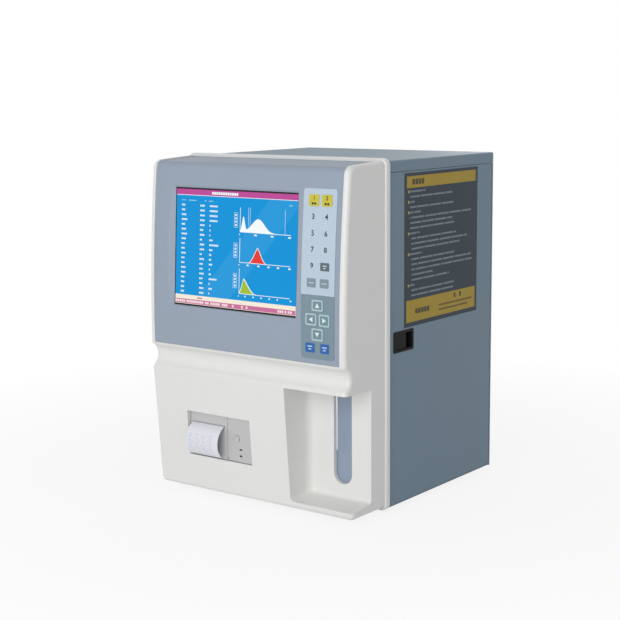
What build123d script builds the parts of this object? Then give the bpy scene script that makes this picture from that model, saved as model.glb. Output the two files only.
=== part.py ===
# Bench-top blood cell counter: moulded white front, curved console panel and sheet-metal case.
# X points to the viewer's right, Y to the back and Z up, in millimetres.
# The origin lies on the bench, under the middle of the sheet-metal case.
import math
import os

from build123d import *

os.makedirs("parts", exist_ok=True)

# Case
case_width = 335.6
case_depth = 273.5
case_height = 466.2
foot_height = 7.0
sheet = 1.5
cover_skirt = 15.2
cover_gap = 0.6
bend_radius = 2.4
fold = 12.0
seat_gap = 0.1
overlap = 1.0
near = 0.1

# Reference planes
rim_y = -case_depth / 2
rear_y = case_depth / 2
base_z = foot_height
top_z = base_z + case_height
half_case = case_width / 2
inner_x = half_case - sheet
frame_half = inner_x - seat_gap
floor_z = base_z + sheet
clear_front = rim_y - 130.0

# Front bezel, with heights measured from the case's underside and depths from its front plane
bezel_overhang = 0.7
bezel_width = case_width + 2 * bezel_overhang
bezel_half = bezel_width / 2
bezel_wall = 3.0
bezel_bottom = base_z + 3.0
bezel_top_front = base_z + 463.2
bezel_top_rear = base_z + 467.2
bezel_edge_radius = 6.0
bezel_foot_radius = 7.0
bezel_brow_radius = 13.0
bead_overhang = 2.5
bead_width = bezel_width + 2 * bead_overhang
bead_bottom = base_z - 1.8
bead_top = base_z + 469.8
bead_depth = 9.0
bead_corner = 9.0
bead_round = 2.4
bead_back_round = 0.8
hollow_top = base_z + 456.0
hollow_rise = 4.0
hollow_nose_drop = 4.0
hollow_cove_half = 12.0
hollow_face_rise = 6.0
screw_boss_radius = 4.5
screw_boss_length = 16.0
screw_boss_rib = 4.0
screw_hole_radius = 1.6
screw_hole_depth = 12.0
screw_spread = 120.0
screw_from_bottom = 7.0
screw_from_top = 11.5

# Upper face: one large arc in side view, furthest forward at its crest
face_depth = 99.9
face_radius = 2164.0
face_crest_z = base_z + 223.0
face_bottom = base_z + 206.0

# Cove between the upper face and the lower face
nose_z = base_z + 176.0
cove_z = base_z + 190.5
cove_depth = 88.4
nose_radius = 8.0
brow_radius = 6.5

# Lower face: flat, leaning back towards its foot
lower_depth = 83.85
lower_lean = math.radians(4.66)

# Console panel
panel_side_land = 8.5
panel_width = bezel_width - 2 * panel_side_land
panel_bottom = base_z + 209.5
panel_step = 1.5
panel_sheet = 2.5
panel_gap = 0.2
ledge_width = 10.0
ledge_wall = 2.5
ledge_window_top = base_z + 445.0

# Display
display_x = 149.75 - bezel_half
display_z = base_z + 347.0
display_tilt = 3.2
display_lift = 0.2
opening_width = 212.5
opening_height = 162.0
bevel_left = 13.8
bevel_right = 4.5
bevel_top = 7.0
bevel_bottom = 1.5
bevel_depth = 5.0
bevel_land = 1.0
bevel_corner = 3.0
opening_corner = 1.5
surround_step = 1.6
surround_margin = 4.0
glass_width = 226.0
glass_height = 172.0
glass_thickness = 1.8
module_width = 232.0
module_height = 178.0
module_thickness = 9.0
module_edge = 1.0
driver_width = 180.0
driver_height = 60.0
driver_drop = 40.0
driver_sheet = 1.6

# Membrane keypad
keypad_x = bezel_half - 43.9
keypad_width = 53.0
keypad_bottom = base_z + 216.0
keypad_top = base_z + 434.5
keypad_sheet = 0.6
keypad_adhesive = 0.1
keypad_corner = 4.0
key_rise = 0.5
key_corner = 1.2

# Sampling niche
niche_left = bezel_half - 101.0
niche_depth = 41.0
niche_floor = base_z + 17.0
niche_floor_drop = 0.082
niche_ceiling = base_z + 171.0
niche_wall = 3.0
niche_corner = 12.0
niche_floor_corner = 6.0
slot_x = bezel_half - 45.75
slot_width = 29.4
slot_end_z = base_z + 50.8
slot_collar = 3.4
slot_collar_wall = 2.0

# Printer
printer_width = 112.6
printer_left = 60.5 - bezel_half
printer_right = printer_left + printer_width
printer_bottom = base_z + 53.0
printer_top = base_z + 116.5
printer_gap = 0.8
printer_return = 2.0
printer_return_y = rim_y - 82.0
printer_face_y = rim_y - 86.0
printer_plate = 2.5
printer_depth = 60.0
printer_wall = 2.0
printer_flange = 5.0
fascia_back = 1.0
fascia_gap = 0.4
fascia_edge = 0.6
printer_door_heel = 1.0
door_split_x = printer_left + 67.0
door_split_gap = 0.5
hinge_y = rim_y - 86.9
hinge_z = base_z + 55.6
hinge_pin_radius = 1.0
hinge_eye_radius = 1.5
fit_gap = 0.05
paper_left = printer_left + 4.5
paper_width = 58.0
paper_thickness = 0.3
paper_radius = 25.0
paper_slot_z = base_z + 100.0
paper_slot_height = 2.0
paper_curl_z = base_z + 76.5
paper_end_angle = 233.0
button_x = door_split_x + 17.8
button_z = base_z + 86.5
button_radius = 4.5
button_rise = 1.6
button_lip = 1.5
button_gap = 0.3
button_edge = 0.8
lamp_x = door_split_x + 24.2
lamp_z = (base_z + 71.5, base_z + 62.6)
lamp_width = 4.2
lamp_height = 2.2
lamp_rise = 0.5
lamp_back = 2.0
roll_y = rim_y - 50.0
roll_z = base_z + 84.0
roll_radius = 20.0
roll_core = 6.0
roll_play = 0.4
platen_radius = 4.0
platen_y = rim_y - 78.8
platen_z = base_z + 104.6
platen_pin_radius = 1.5
head_gap = 0.5
head_sheet = 3.0
head_drop = 6.0
head_rise = 4.0
head_arm = 2.0
head_arm_inset = 4.0
head_arm_drop = 4.0
ear = 2.0
ear_gap = 0.3
ear_reach = 3.0
eye_back = 1.0
paper_slot_play = 0.8
paper_run_front = 0.2
paper_run_back = 0.4

# Sampling probe and its drive
probe_x = slot_x - 0.75
probe_y = rim_y - 53.0
probe_radius = 1.0
probe_bore = 0.5
probe_tip_z = base_z + 86.5
probe_top_z = base_z + 226.0
probe_play = 2.0
wash_radius = 7.0
wash_height = 11.0
wash_gap = 0.35
wash_port_radius = 2.0
wash_port_length = 6.0
tower_width = 44.0
tower_left = probe_x - tower_width / 2
tower_right = probe_x + tower_width / 2
tower_bottom = base_z + 188.0
tower_top = base_z + 304.0
tower_reach = 62.0
tower_sheet = 2.0
tower_corner = 5.0
carriage_bottom = base_z + 206.0
carriage_height = 12.0
carriage_depth = 18.0
carriage_corner = 4.0
carriage_arm = 12.0
carriage_arm_corner = 3.0
rod_x = probe_x - 12.0
screw_x = probe_x + 11.0
drive_y = rim_y - 42.0
rod_radius = 3.0
screw_radius = 4.0
journal_radius = 2.5
screw_end_gap = 0.3
screw_drive_length = 8.0
motor_bore_depth = 9.0
motor_corner = 4.0
motor_edge = 1.0
probe_motor_size = 35.0
probe_motor_height = 26.0

# Aspirate plate
plate_width = 37.0
plate_bottom = base_z + 30.0
plate_top = base_z + 168.0
plate_thickness = 2.5
plate_gap = 0.8
plate_travel = 2.5
boss_radius = 4.5
boss_length = 7.0
plate_corner = 4.0
plate_edge = 0.6
guide_pin_radius = 2.0
guide_pin_z = (base_z + 60.0, base_z + 140.0)
bracket_width = 46.0
bracket_bottom = base_z + 42.0
bracket_top = base_z + 158.0
bracket_gap = 4.5
post_radius = 3.0
post_side_inset = 5.0
post_end_inset = 8.0
pin_end_gap = 0.8

# Side door, hinged at its rear edge on two pivot pins
door_front = rim_y + 2.0
door_bottom = base_z + 2.5
door_flange = 12.0
door_flange_top_gap = 2.0
door_flange_bottom = base_z + 5.0
pivot_x = inner_x - 2.0
pivot_y = rear_y - 11.5
pivot_radius = 1.5
pivot_play = 0.08
pivot_fold_reach = 5.0
pivot_length = 8.0
pivot_bracket_gap = 1.6
pivot_bracket_sheet = 2.0
pivot_bracket_width = 14.0
pivot_bracket_reach = 8.0
pivot_bracket_drop = 16.0
pivot_side_gap = 0.2
rear_wrap = 4.4
rear_seam = 1.2

# Flush latch on the door
latch_y = rim_y + 36.0
latch_z = base_z + 224.25
latch_width = 48.0
latch_height = 28.5
latch_flange = 1.2
latch_rim = 2.2
latch_wall = 1.2
latch_corner = 2.0
latch_edge = 0.5
latch_cut_gap = 0.2
latch_depth = 13.0
latch_pocket = 10.0
paddle_width = 27.0
paddle_thickness = 2.5
paddle_gap = 0.6
paddle_sink = 0.3
paddle_edge = 1.1
paddle_pin_radius = 0.8
paddle_pin_inset = 1.3
paddle_pin_back = 2.3
paddle_pin_seat = 0.4
paddle_pin_gap = 0.2

# Sheet stuck on the door
label_front = rim_y + 37.8
label_rear = rim_y + 227.0
label_bottom = base_z + 241.0
label_top = base_z + 448.0
label_thickness = 0.25

# Fluid parts behind the door
mount_x = half_case - 107.8
mount_sheet = 2.0
mount_top = base_z + 440.0
mount_inset = 6.0
mount_foot = 22.0
pass_places = ((rim_y + 95.0, base_z + 330.0), (rim_y + 190.0, base_z + 370.0))
pass_length = 50.0
pass_height = 20.0
bath_x = mount_x + 30.0
bath_y = (rim_y + 70.0, rim_y + 120.0)
bath_radius = 13.0
bath_wall = 2.0
bath_seat_z = base_z + 180.0
bath_rise = 24.0
bath_drop = 32.0
bath_cone = 14.0
bath_outlet_radius = 3.0
bath_lip = 3.0
bath_floor = 2.0
bath_outlet_length = 9.0
bath_gap = 0.3
holder_height = 10.0
holder_margin = 8.0
holder_corner = 6.0
syringe_x = mount_x + 30.0
syringe_y = (rim_y + 178.0, rim_y + 214.0)
syringe_radius = 7.5
syringe_bore = 6.0
syringe_seat_z = base_z + 240.0
syringe_length = 62.0
syringe_travel = 25.0
syringe_end = 4.0
nozzle_radius = 2.5
nozzle_length = 9.0
clamp_height = 12.0
clamp_half = 14.0
clamp_screw_gap = 0.5
bracket_back_sheet = 4.0
bracket_back_margin = 18.0
bracket_back_top = base_z + 320.0
shelf_half = 18.0
shelf_sheet = 3.0
piston_rise = 18.0
piston_height = 8.0
piston_gap = 0.1
yoke_width = 22.0
yoke_margin = 20.0
yoke_corner = 5.0
screw_top_reach = 10.0
screw_foot = 8.0
plunger_radius = 3.0
yoke_z = base_z + 198.0
yoke_height = 9.0
syringe_screw_radius = 3.0
syringe_motor_size = 32.0
syringe_motor_height = 30.0
syringe_shelf_z = base_z + 150.0
valve_count = 6
valve_pitch = 38.0
valve_first_y = rim_y + 34.0
valve_z = base_z + 84.0
valve_size = 20.0
valve_reach = 30.0
valve_coil_radius = 8.0
valve_coil_length = 8.0
valve_pipe_radius = 1.4
valve_pipe_reach = 4.0
pump_front_y = rim_y + 40.0
chamber_y = valve_first_y + 3 * valve_pitch
chamber_x = mount_x + 43.0
chamber_radius = 24.0
chamber_height = 46.0
chamber_edge = 4.0
chamber_port_spread = 9.0
chamber_port_length = 9.0
port_radius = 2.5
pump_left = mount_x + 20.0
pump_width = 36.0
pump_body_length = 30.0
pump_height = 36.0
pump_motor_radius = 13.0
pump_motor_length = 30.0
pump_port_places = (10.0, 26.0)
pump_port_front = 12.0
pump_port_length = 10.0
tube_radius = 1.6
tube_lead = 7.0
tube_bend = 4.0
tube_loop = 16.0
tube_loop_bend = 12.0

# Electronics
board_height = 300.0
board_length = 220.0
board_sheet = 1.6
standoff_length = 12.0
standoff_radius = 3.0
standoff_inset = 8.0
board_z = base_z + 240.0
# Each large part on the board is its place along and up the board, its length, its height and its thickness
board_parts = (
    (-40.0, 60.0, 36.0, 36.0, 6.0),
    (40.0, 20.0, 50.0, 24.0, 12.0),
    (-30.0, -70.0, 60.0, 30.0, 8.0),
)
supply_width = 96.0
supply_length = 150.0
supply_height = 58.0
supply_x = -60.0
supply_back_gap = 40.0
supply_edge = 2.0

# Rear panel fittings
fan_x = 79.8 - half_case
fan_z = base_z + 352.0
fan_size = 80.0
fan_depth = 25.0
fan_bore = 38.0
fan_pin_radius = 2.5
fan_pin_length = 14.0
fan_hub_radius = 15.0
fan_strut = 4.0
fan_strut_sheet = 3.0
fan_corner = 4.0
blade_count = 7
blade_pitch = 32.0
blade_chord = 16.0
blade_sheet = 1.4
blade_length = 22.0
rotor_height = 17.0
guard_radii = (10.0, 19.0, 28.0, 37.0)
guard_wire = 1.6
guard_reach = 100.0
inlet_x = 55.8 - half_case
inlet_z = base_z + 56.0
rocker_z = base_z + 96.0
earth_x = inlet_x + 34.0
fitting_x = half_case - 55.8
fitting_first_z = base_z + 54.0
fitting_pitch = 26.0
fitting_count = 4
socket_z = base_z + 190.0
socket_pitch = 28.0
socket_count = 2

# Front frame's window, folds and louvres
window_left = 26.3 - frame_half
window_right = frame_half - 71.2
window_bottom = base_z + 30.0
window_top = base_z + 440.0
frame_hole_radius = 1.7
pan_fold = 14.0
side_gap = 0.3
cutout_gap = 0.2
rotor_gap = 1.0
louvre_x = half_case - 107.8
louvre_pitch_x = 14.0
louvre_pitch_z = 9.0
louvre_columns = 6
louvre_rows = 8
louvre_length = 11.0
louvre_height = 3.0

# Mains inlet and rocker switch
inlet_flange = 3.0
inlet_flange_width = 48.0
inlet_flange_height = 23.0
inlet_corner = 3.0
inlet_body_width = 27.0
inlet_body_height = 19.8
inlet_mouth_width = 24.0
inlet_mouth_height = 16.4
inlet_depth = 15.0
inlet_floor = 3.0
inlet_blades = ((-7.0, -1.5), (7.0, -1.5), (0.0, 2.5))
inlet_blade_sheet = 2.0
inlet_blade_width = 4.0
inlet_blade_length = 13.0
rocker_flange = 2.0
rocker_flange_width = 23.0
rocker_flange_height = 17.0
rocker_corner = 1.5
rocker_body_width = 19.0
rocker_body_height = 13.0
rocker_wall = 1.2
rocker_depth = 10.0
rocker_floor = 4.0
rocker_pin_radius = 1.0
rocker_pin_reach = 6.0
rocker_half_height = 4.9
rocker_axis_depth = 1.5
rocker_outline = ((-6.6, 4.2), (0.0, 2.6), (7.6, 1.4), (4.0, -2.0), (-4.0, -2.0), (-7.4, 0.6))

# Earth post, reagent fittings and data sockets
earth_radius = 2.9
earth_outside = 14.0
earth_inside = 10.0
earth_nut_radius = 5.5
earth_nut_height = 3.0
fitting_stem = 3.9
fitting_inside = 12.0
fitting_nut = 7.5
fitting_nut_height = 4.0
nipple_radius = 3.0
nipple_length = 18.0
nipple_tip_radius = 2.4
barb_radius = 4.0
barb_start = 8.0
barb_pitch = 3.0
socket_gap = 0.4
socket_body_width = 19.0
socket_body_height = 10.4
socket_depth = 10.0
socket_flange = 1.0
socket_flange_width = 31.0
socket_flange_height = 12.4
socket_shell = 6.0
socket_shell_width = 17.0
socket_shell_height = 8.4
socket_shell_angle = 80.0
socket_nut_spread = 12.5
socket_nut_radius = 2.8
socket_nut_height = 4.0

# Screws
screw_shank_radius = 1.5
screw_shank_length = 10.0
screw_head_radius = 3.0
screw_head_height = 1.8
rear_screw_inset = 12.8
rear_screw_low = 24.0
rear_screw_top = 10.0

# Feet
foot_radius = 11.0
foot_inset = 45.0
foot_taper = 8.0
foot_dish = 1.0


def face_y(z, depth=0.0):
    """Y of the upper face at height z, or of a surface that lies depth behind it."""
    centre_y = rim_y - face_depth + face_radius
    return centre_y - math.sqrt((face_radius - depth) ** 2 - (z - face_crest_z) ** 2)


def face_points(low, high, depth=0.0):
    """Three points of the upper face's arc in side view."""
    middle = (low + high) / 2
    return [(face_y(z, depth), z) for z in (low, middle, high)]


def lower_y(z, depth=0.0):
    """Y of the lower face at height z."""
    return rim_y - lower_depth - math.tan(lower_lean) * (z - base_z) + depth


def top_line(y, depth=0.0):
    """Height of the bezel's top edge at y."""
    front = face_y(bezel_top_front)
    share = (y - front) / (rim_y - front)
    return bezel_top_front + share * (bezel_top_rear - bezel_top_front) - depth


def across(y):
    """Plane across the object at y, facing the front."""
    return Plane.XZ.offset(-y)


def beside(x):
    """Plane along the object at x, facing the right."""
    return Plane.YZ.offset(x)


def level(z):
    """Horizontal plane at height z."""
    return Plane.XY.offset(z)


def box_between(x0, x1, y0, y1, z0, z1, mode=Mode.ADD):
    """Box between two corners, in the open part."""
    with Locations(((x0 + x1) / 2, (y0 + y1) / 2, (z0 + z1) / 2)):
        Box(x1 - x0, y1 - y0, z1 - z0, mode=mode)


def nearest(shapes, *point):
    """The shape nearest to a point."""
    return shapes.sort_by_distance(Vector(*point))[0]


display_plane = Plane(
    origin=(display_x, face_y(display_z) + display_lift, display_z),
    x_dir=(1, 0, 0),
    z_dir=(0, -math.cos(math.radians(display_tilt)), math.sin(math.radians(display_tilt))),
)
bevel_width = opening_width + bevel_left + bevel_right
bevel_height = opening_height + bevel_top + bevel_bottom
bevel_centre = ((bevel_right - bevel_left) / 2, (bevel_top - bevel_bottom) / 2)
glass_plane_depth = bevel_depth + bevel_land
panel_half = panel_width / 2
panel_depth = panel_step + panel_sheet
bead_front_y = rim_y - bead_depth
niche_back_y = rim_y - niche_depth
slot_rear_y = niche_back_y + niche_wall + slot_collar
screw_places = [
    (x, z) for z in (bezel_bottom + screw_from_bottom, bezel_top_rear - screw_from_top)
    for x in (-screw_spread, 0.0, screw_spread)
]


# Front bezel: a ring-shaped bead round the back of the moulding
with BuildPart() as rim_bead:
    with BuildSketch(across(rim_y)):
        with Locations((0, (bead_bottom + bead_top) / 2)):
            RectangleRounded(bead_width, bead_top - bead_bottom, bead_corner)
    extrude(amount=bead_depth)
    fillet(faces().sort_by(Axis.Y)[0].edges(), bead_round)
    fillet(faces().sort_by(Axis.Y)[-1].edges(), bead_back_round)

# Hollow behind the bezel's walls, with the material of the niche and the printer frame left in
with BuildPart() as bezel_hollow:
    with BuildSketch(Plane.YZ):
        with BuildLine():
            inner_bottom = bezel_bottom + bezel_wall
            inner_depth = panel_depth + ledge_wall
            arc = face_points(face_bottom + hollow_face_rise, hollow_top, inner_depth)
            Polyline(
                (rim_y + overlap, inner_bottom),
                (lower_y(inner_bottom, bezel_wall), inner_bottom),
                (lower_y(nose_z - hollow_nose_drop, bezel_wall), nose_z - hollow_nose_drop),
                (rim_y - cove_depth + bezel_wall, cove_z - hollow_cove_half),
                (rim_y - cove_depth + bezel_wall, cove_z + hollow_cove_half),
                arc[0],
            )
            ThreePointArc(*arc)
            Polyline(
                arc[2],
                (rim_y + overlap, hollow_top + hollow_rise),
                (rim_y + overlap, inner_bottom),
            )
        make_face()
    extrude(amount=bezel_half - bezel_wall, both=True)
    box_between(niche_left - niche_wall, bezel_width, clear_front, niche_back_y + niche_wall,
                base_z - niche_wall, niche_ceiling + niche_wall, mode=Mode.SUBTRACT)
    box_between(printer_left - printer_return, printer_right + printer_return, clear_front,
                printer_return_y, printer_bottom - printer_return, printer_top + printer_return,
                mode=Mode.SUBTRACT)
    box_between(slot_x - slot_width / 2 - slot_collar_wall, slot_x + slot_width / 2 + slot_collar_wall,
                niche_back_y, slot_rear_y, slot_end_z, niche_ceiling + niche_wall, mode=Mode.SUBTRACT)
    with BuildSketch(across(slot_rear_y)):
        with Locations((slot_x, slot_end_z)):
            Circle(slot_width / 2 + slot_collar_wall)
    extrude(amount=slot_collar + niche_wall, mode=Mode.SUBTRACT)
    with BuildSketch(across(rim_y + overlap)):
        with Locations(*screw_places):
            Circle(screw_boss_radius)
        for x, z in screw_places:
            with Locations((x, z + math.copysign(screw_boss_rib, z - display_z))):
                Rectangle(2 * screw_boss_radius, 2 * screw_boss_radius)
    extrude(amount=screw_boss_length, mode=Mode.SUBTRACT)

# Space of the sampling niche, open to the front and to the right
with BuildPart() as niche_space:
    with BuildSketch(beside(niche_left)):
        with BuildLine():
            Polyline(
                (niche_back_y, niche_floor),
                (clear_front, niche_floor - niche_floor_drop * (niche_back_y - clear_front)),
                (clear_front, niche_ceiling),
                (niche_back_y, niche_ceiling),
                close=True,
            )
        make_face()
    extrude(amount=bezel_width)
    fillet(nearest(edges().filter_by(Axis.Z), niche_left, niche_back_y, cove_z), niche_corner)
    fillet(nearest(edges(), bezel_width, niche_back_y, niche_floor), niche_floor_corner)

# Front bezel: the white moulding
with BuildPart() as front_bezel:
    with BuildSketch(Plane.YZ):
        with BuildLine():
            foot = (lower_y(bezel_bottom), bezel_bottom)
            nose = (lower_y(nose_z), nose_z)
            brow = face_points(face_bottom, bezel_top_front)
            Polyline((rim_y, bezel_top_rear), (rim_y, bezel_bottom), foot, nose)
            ThreePointArc(nose, (rim_y - cove_depth, cove_z), brow[0])
            ThreePointArc(*brow)
            Line(brow[2], (rim_y, bezel_top_rear))
        make_face()
        fillet(nearest(vertices(), *foot, 0), bezel_foot_radius)
        fillet(nearest(vertices(), *nose, 0), nose_radius)
        fillet(nearest(vertices(), *brow[0], 0), brow_radius)
        fillet(nearest(vertices(), *brow[2], 0), bezel_brow_radius)
    extrude(amount=bezel_half, both=True)
    side_edges = [
        edge for edge in edges()
        if abs(abs(edge.center().X) - bezel_half) < near and edge.center().Y < rim_y - near
    ]
    fillet(side_edges, bezel_edge_radius)
    add(rim_bead.part)
    # Recess of the console panel, up the face and over the top to the bead
    with BuildSketch(Plane.YZ):
        with BuildLine():
            step_top = bezel_top_front - panel_depth
            arc = face_points(panel_bottom, step_top, panel_depth)
            ThreePointArc(*arc)
            Polyline(
                arc[2],
                (bead_front_y, top_line(bead_front_y, panel_depth)),
                (bead_front_y, bead_top + overlap),
                (clear_front, bead_top + overlap),
                (clear_front, panel_bottom),
                arc[0],
            )
        make_face()
        fillet(nearest(vertices(), *arc[2], 0), bezel_brow_radius - panel_depth)
    extrude(amount=panel_half, both=True, mode=Mode.SUBTRACT)
    add(bezel_hollow.part, mode=Mode.SUBTRACT)
    # Window in the ledge behind the panel
    box_between(-panel_half + ledge_width, panel_half - ledge_width, clear_front, rim_y - cove_depth / 2,
                panel_bottom + ledge_width, ledge_window_top, mode=Mode.SUBTRACT)
    add(niche_space.part, mode=Mode.SUBTRACT)
    with BuildSketch(across(slot_rear_y)):
        with Locations((slot_x, slot_end_z)):
            Circle(slot_width / 2)
        with Locations((slot_x, (slot_end_z + niche_ceiling) / 2)):
            Rectangle(slot_width, niche_ceiling - slot_end_z)
    extrude(amount=slot_collar + niche_wall + overlap, mode=Mode.SUBTRACT)
    with BuildSketch(level(niche_ceiling - overlap)):
        with Locations((probe_x, probe_y)):
            Circle(probe_radius + probe_play)
    extrude(amount=niche_wall + 2 * overlap, mode=Mode.SUBTRACT)
    box_between(printer_left, printer_right, clear_front, printer_return_y + overlap, printer_bottom,
                printer_top, mode=Mode.SUBTRACT)
    with BuildSketch(beside(printer_left - printer_return - overlap)):
        with Locations((hinge_y, hinge_z)):
            Circle(hinge_pin_radius + fit_gap)
    extrude(amount=printer_return + 2 * overlap, mode=Mode.SUBTRACT)
    with BuildSketch(across(rim_y)):
        with Locations(*screw_places):
            Circle(screw_hole_radius)
    extrude(amount=screw_hole_depth, mode=Mode.SUBTRACT)
front_bezel.part.label = "front_bezel"
export_step(front_bezel.part, "parts/front_bezel.step")


# Console panel: a curved sheet with a bevelled surround for the display
with BuildPart() as console_panel:
    low = panel_bottom + panel_gap
    with BuildSketch(Plane.YZ):
        with BuildLine():
            outer = face_points(low, bezel_top_front - panel_step, panel_step)
            inner = face_points(low, bezel_top_front - panel_depth, panel_depth)
            rear = bead_front_y - panel_gap
            ThreePointArc(*outer)
            Polyline(
                outer[2], (rear, top_line(rear, panel_step)), (rear, top_line(rear, panel_depth)), inner[2],
            )
            ThreePointArc(*inner)
            Line(inner[0], outer[0])
        make_face()
        fillet(nearest(vertices(), *outer[2], 0), bezel_brow_radius - panel_step)
        fillet(nearest(vertices(), *inner[2], 0), bezel_brow_radius - panel_depth)
    extrude(amount=panel_half - panel_gap, both=True)
    with BuildSketch(display_plane.offset(-panel_step - surround_step)):
        with Locations(bevel_centre):
            Rectangle(bevel_width + 2 * surround_margin, bevel_height + 2 * surround_margin)
    extrude(amount=-(glass_plane_depth - panel_step - surround_step))
    with BuildSketch(display_plane):
        with Locations(bevel_centre):
            RectangleRounded(bevel_width, bevel_height, bevel_corner)
    with BuildSketch(display_plane.offset(-bevel_depth)):
        RectangleRounded(opening_width, opening_height, opening_corner)
    loft(mode=Mode.SUBTRACT)
    with BuildSketch(display_plane.offset(-glass_plane_depth - overlap)):
        RectangleRounded(opening_width, opening_height, opening_corner)
    extrude(amount=bevel_land + 2 * overlap, mode=Mode.SUBTRACT)
console_panel.part.label = "console_panel"
export_step(console_panel.part, "parts/console_panel.step")


# Display glass and the module behind it
with BuildPart() as display_glass:
    with BuildSketch(display_plane.offset(-glass_plane_depth)):
        Rectangle(glass_width, glass_height)
    extrude(amount=-glass_thickness)
display_glass.part.label = "display_glass"
export_step(display_glass.part, "parts/display_glass.step")

with BuildPart() as display_module:
    with BuildSketch(display_plane.offset(-glass_plane_depth - glass_thickness)):
        Rectangle(module_width, module_height)
    extrude(amount=-module_thickness)
    fillet(edges().filter_by(Axis.X).sort_by(Axis.Y)[-2:], module_edge)
    # Driver board on the back
    with BuildSketch(display_plane.offset(-glass_plane_depth - glass_thickness - module_thickness)):
        with Locations((0, -driver_drop)):
            Rectangle(driver_width, driver_height)
    extrude(amount=-driver_sheet)
display_module.part.label = "display_module"
export_step(display_module.part, "parts/display_module.step")


# Membrane keypad: one sheet on the panel, with keys pressed up from it
# Each key is its middle from the sheet's middle, its middle height, its width and its height
keys = [
    (-9.3, 419.5, 16.0, 15.0), (11.2, 419.5, 16.5, 15.0),
    (11.0, 335.8, 14.0, 10.5),
    (-10.0, 314.4, 14.0, 11.5), (10.6, 314.5, 13.6, 11.5),
    (0.3, 285.7, 18.0, 14.5), (-9.8, 267.2, 17.8, 15.6), (11.4, 267.0, 16.8, 16.0), (0.4, 248.0, 18.0, 16.0),
    (-11.3, 230.3, 14.4, 12.2), (12.0, 230.5, 13.3, 12.2),
]
with BuildPart() as membrane_keypad:
    with BuildSketch(beside(keypad_x)):
        with BuildLine():
            outer = face_points(keypad_bottom, keypad_top, panel_step - keypad_adhesive - keypad_sheet)
            inner = face_points(keypad_bottom, keypad_top, panel_step - keypad_adhesive)
            ThreePointArc(*outer)
            Line(outer[2], inner[2])
            ThreePointArc(*inner)
            Line(inner[0], outer[0])
        make_face()
    extrude(amount=keypad_width / 2, both=True)
    corners = [
        edge for edge in edges()
        if edge.length < 2 * keypad_sheet and abs(abs(edge.center().X - keypad_x) - keypad_width / 2) < near
    ]
    fillet(corners, keypad_corner)
    for key_x, key_z, key_width, key_height in keys:
        height = base_z + key_z
        lean = math.asin((height - face_crest_z) / face_radius)
        key_y = face_y(height, panel_step - keypad_adhesive - keypad_sheet / 2)
        key_plane = Plane(
            origin=(keypad_x + key_x, key_y, height),
            x_dir=(1, 0, 0),
            z_dir=(0, -math.cos(lean), math.sin(lean)),
        )
        with BuildSketch(key_plane):
            RectangleRounded(key_width, key_height, key_corner)
        extrude(amount=keypad_sheet / 2 + key_rise)
membrane_keypad.part.label = "membrane_keypad"
export_step(membrane_keypad.part, "parts/membrane_keypad.step")


# Printer housing: a box behind the recess, with the fixed fascia on its right
house_left = printer_left + printer_gap
house_right = printer_right - printer_gap
house_bottom = printer_bottom + printer_gap
house_top = printer_top - printer_gap
house_front_y = printer_face_y + printer_plate + fascia_gap
house_back_y = house_front_y + printer_depth
bay_right = door_split_x - printer_wall
fascia_left = door_split_x + door_split_gap
with BuildPart() as printer_housing:
    box_between(house_left, house_right, house_front_y, house_back_y, house_bottom, house_top)
    box_between(house_left - printer_flange, house_right + printer_flange, printer_return_y,
                printer_return_y + printer_wall, house_bottom - printer_flange, house_top + printer_flange)
    box_between(fascia_left, house_right, printer_face_y, house_front_y, house_bottom, house_top)
    fillet(faces().sort_by(Axis.Y)[0].edges(), fascia_edge)
    with BuildSketch(beside(fascia_left)):
        with Locations((hinge_y, hinge_z)):
            Circle(hinge_eye_radius + ear_gap)
    extrude(amount=printer_wall)
    # Roll bay on the left and electronics bay on the right
    box_between(house_left + printer_wall, bay_right, house_front_y - overlap, house_back_y - printer_wall,
                house_bottom + printer_wall, house_top - printer_wall, mode=Mode.SUBTRACT)
    box_between(door_split_x + printer_wall, house_right - printer_wall, house_front_y + fascia_back,
                house_back_y + overlap, house_bottom + printer_wall, house_top - printer_wall,
                mode=Mode.SUBTRACT)
    with BuildSketch(beside(fascia_left - overlap)):
        with Locations((hinge_y, hinge_z)):
            Circle(hinge_pin_radius + fit_gap)
    extrude(amount=printer_wall + 2 * overlap, mode=Mode.SUBTRACT)
    with BuildSketch(across(house_front_y + fascia_back + overlap)):
        with Locations((button_x, button_z)):
            Circle(button_radius + button_gap)
        for z in lamp_z:
            with Locations((lamp_x, z)):
                Rectangle(lamp_width, lamp_height)
    extrude(amount=2 * printer_plate + 2 * overlap, mode=Mode.SUBTRACT)
printer_housing.part.label = "printer_housing"
export_step(printer_housing.part, "parts/printer_housing.step")

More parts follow.
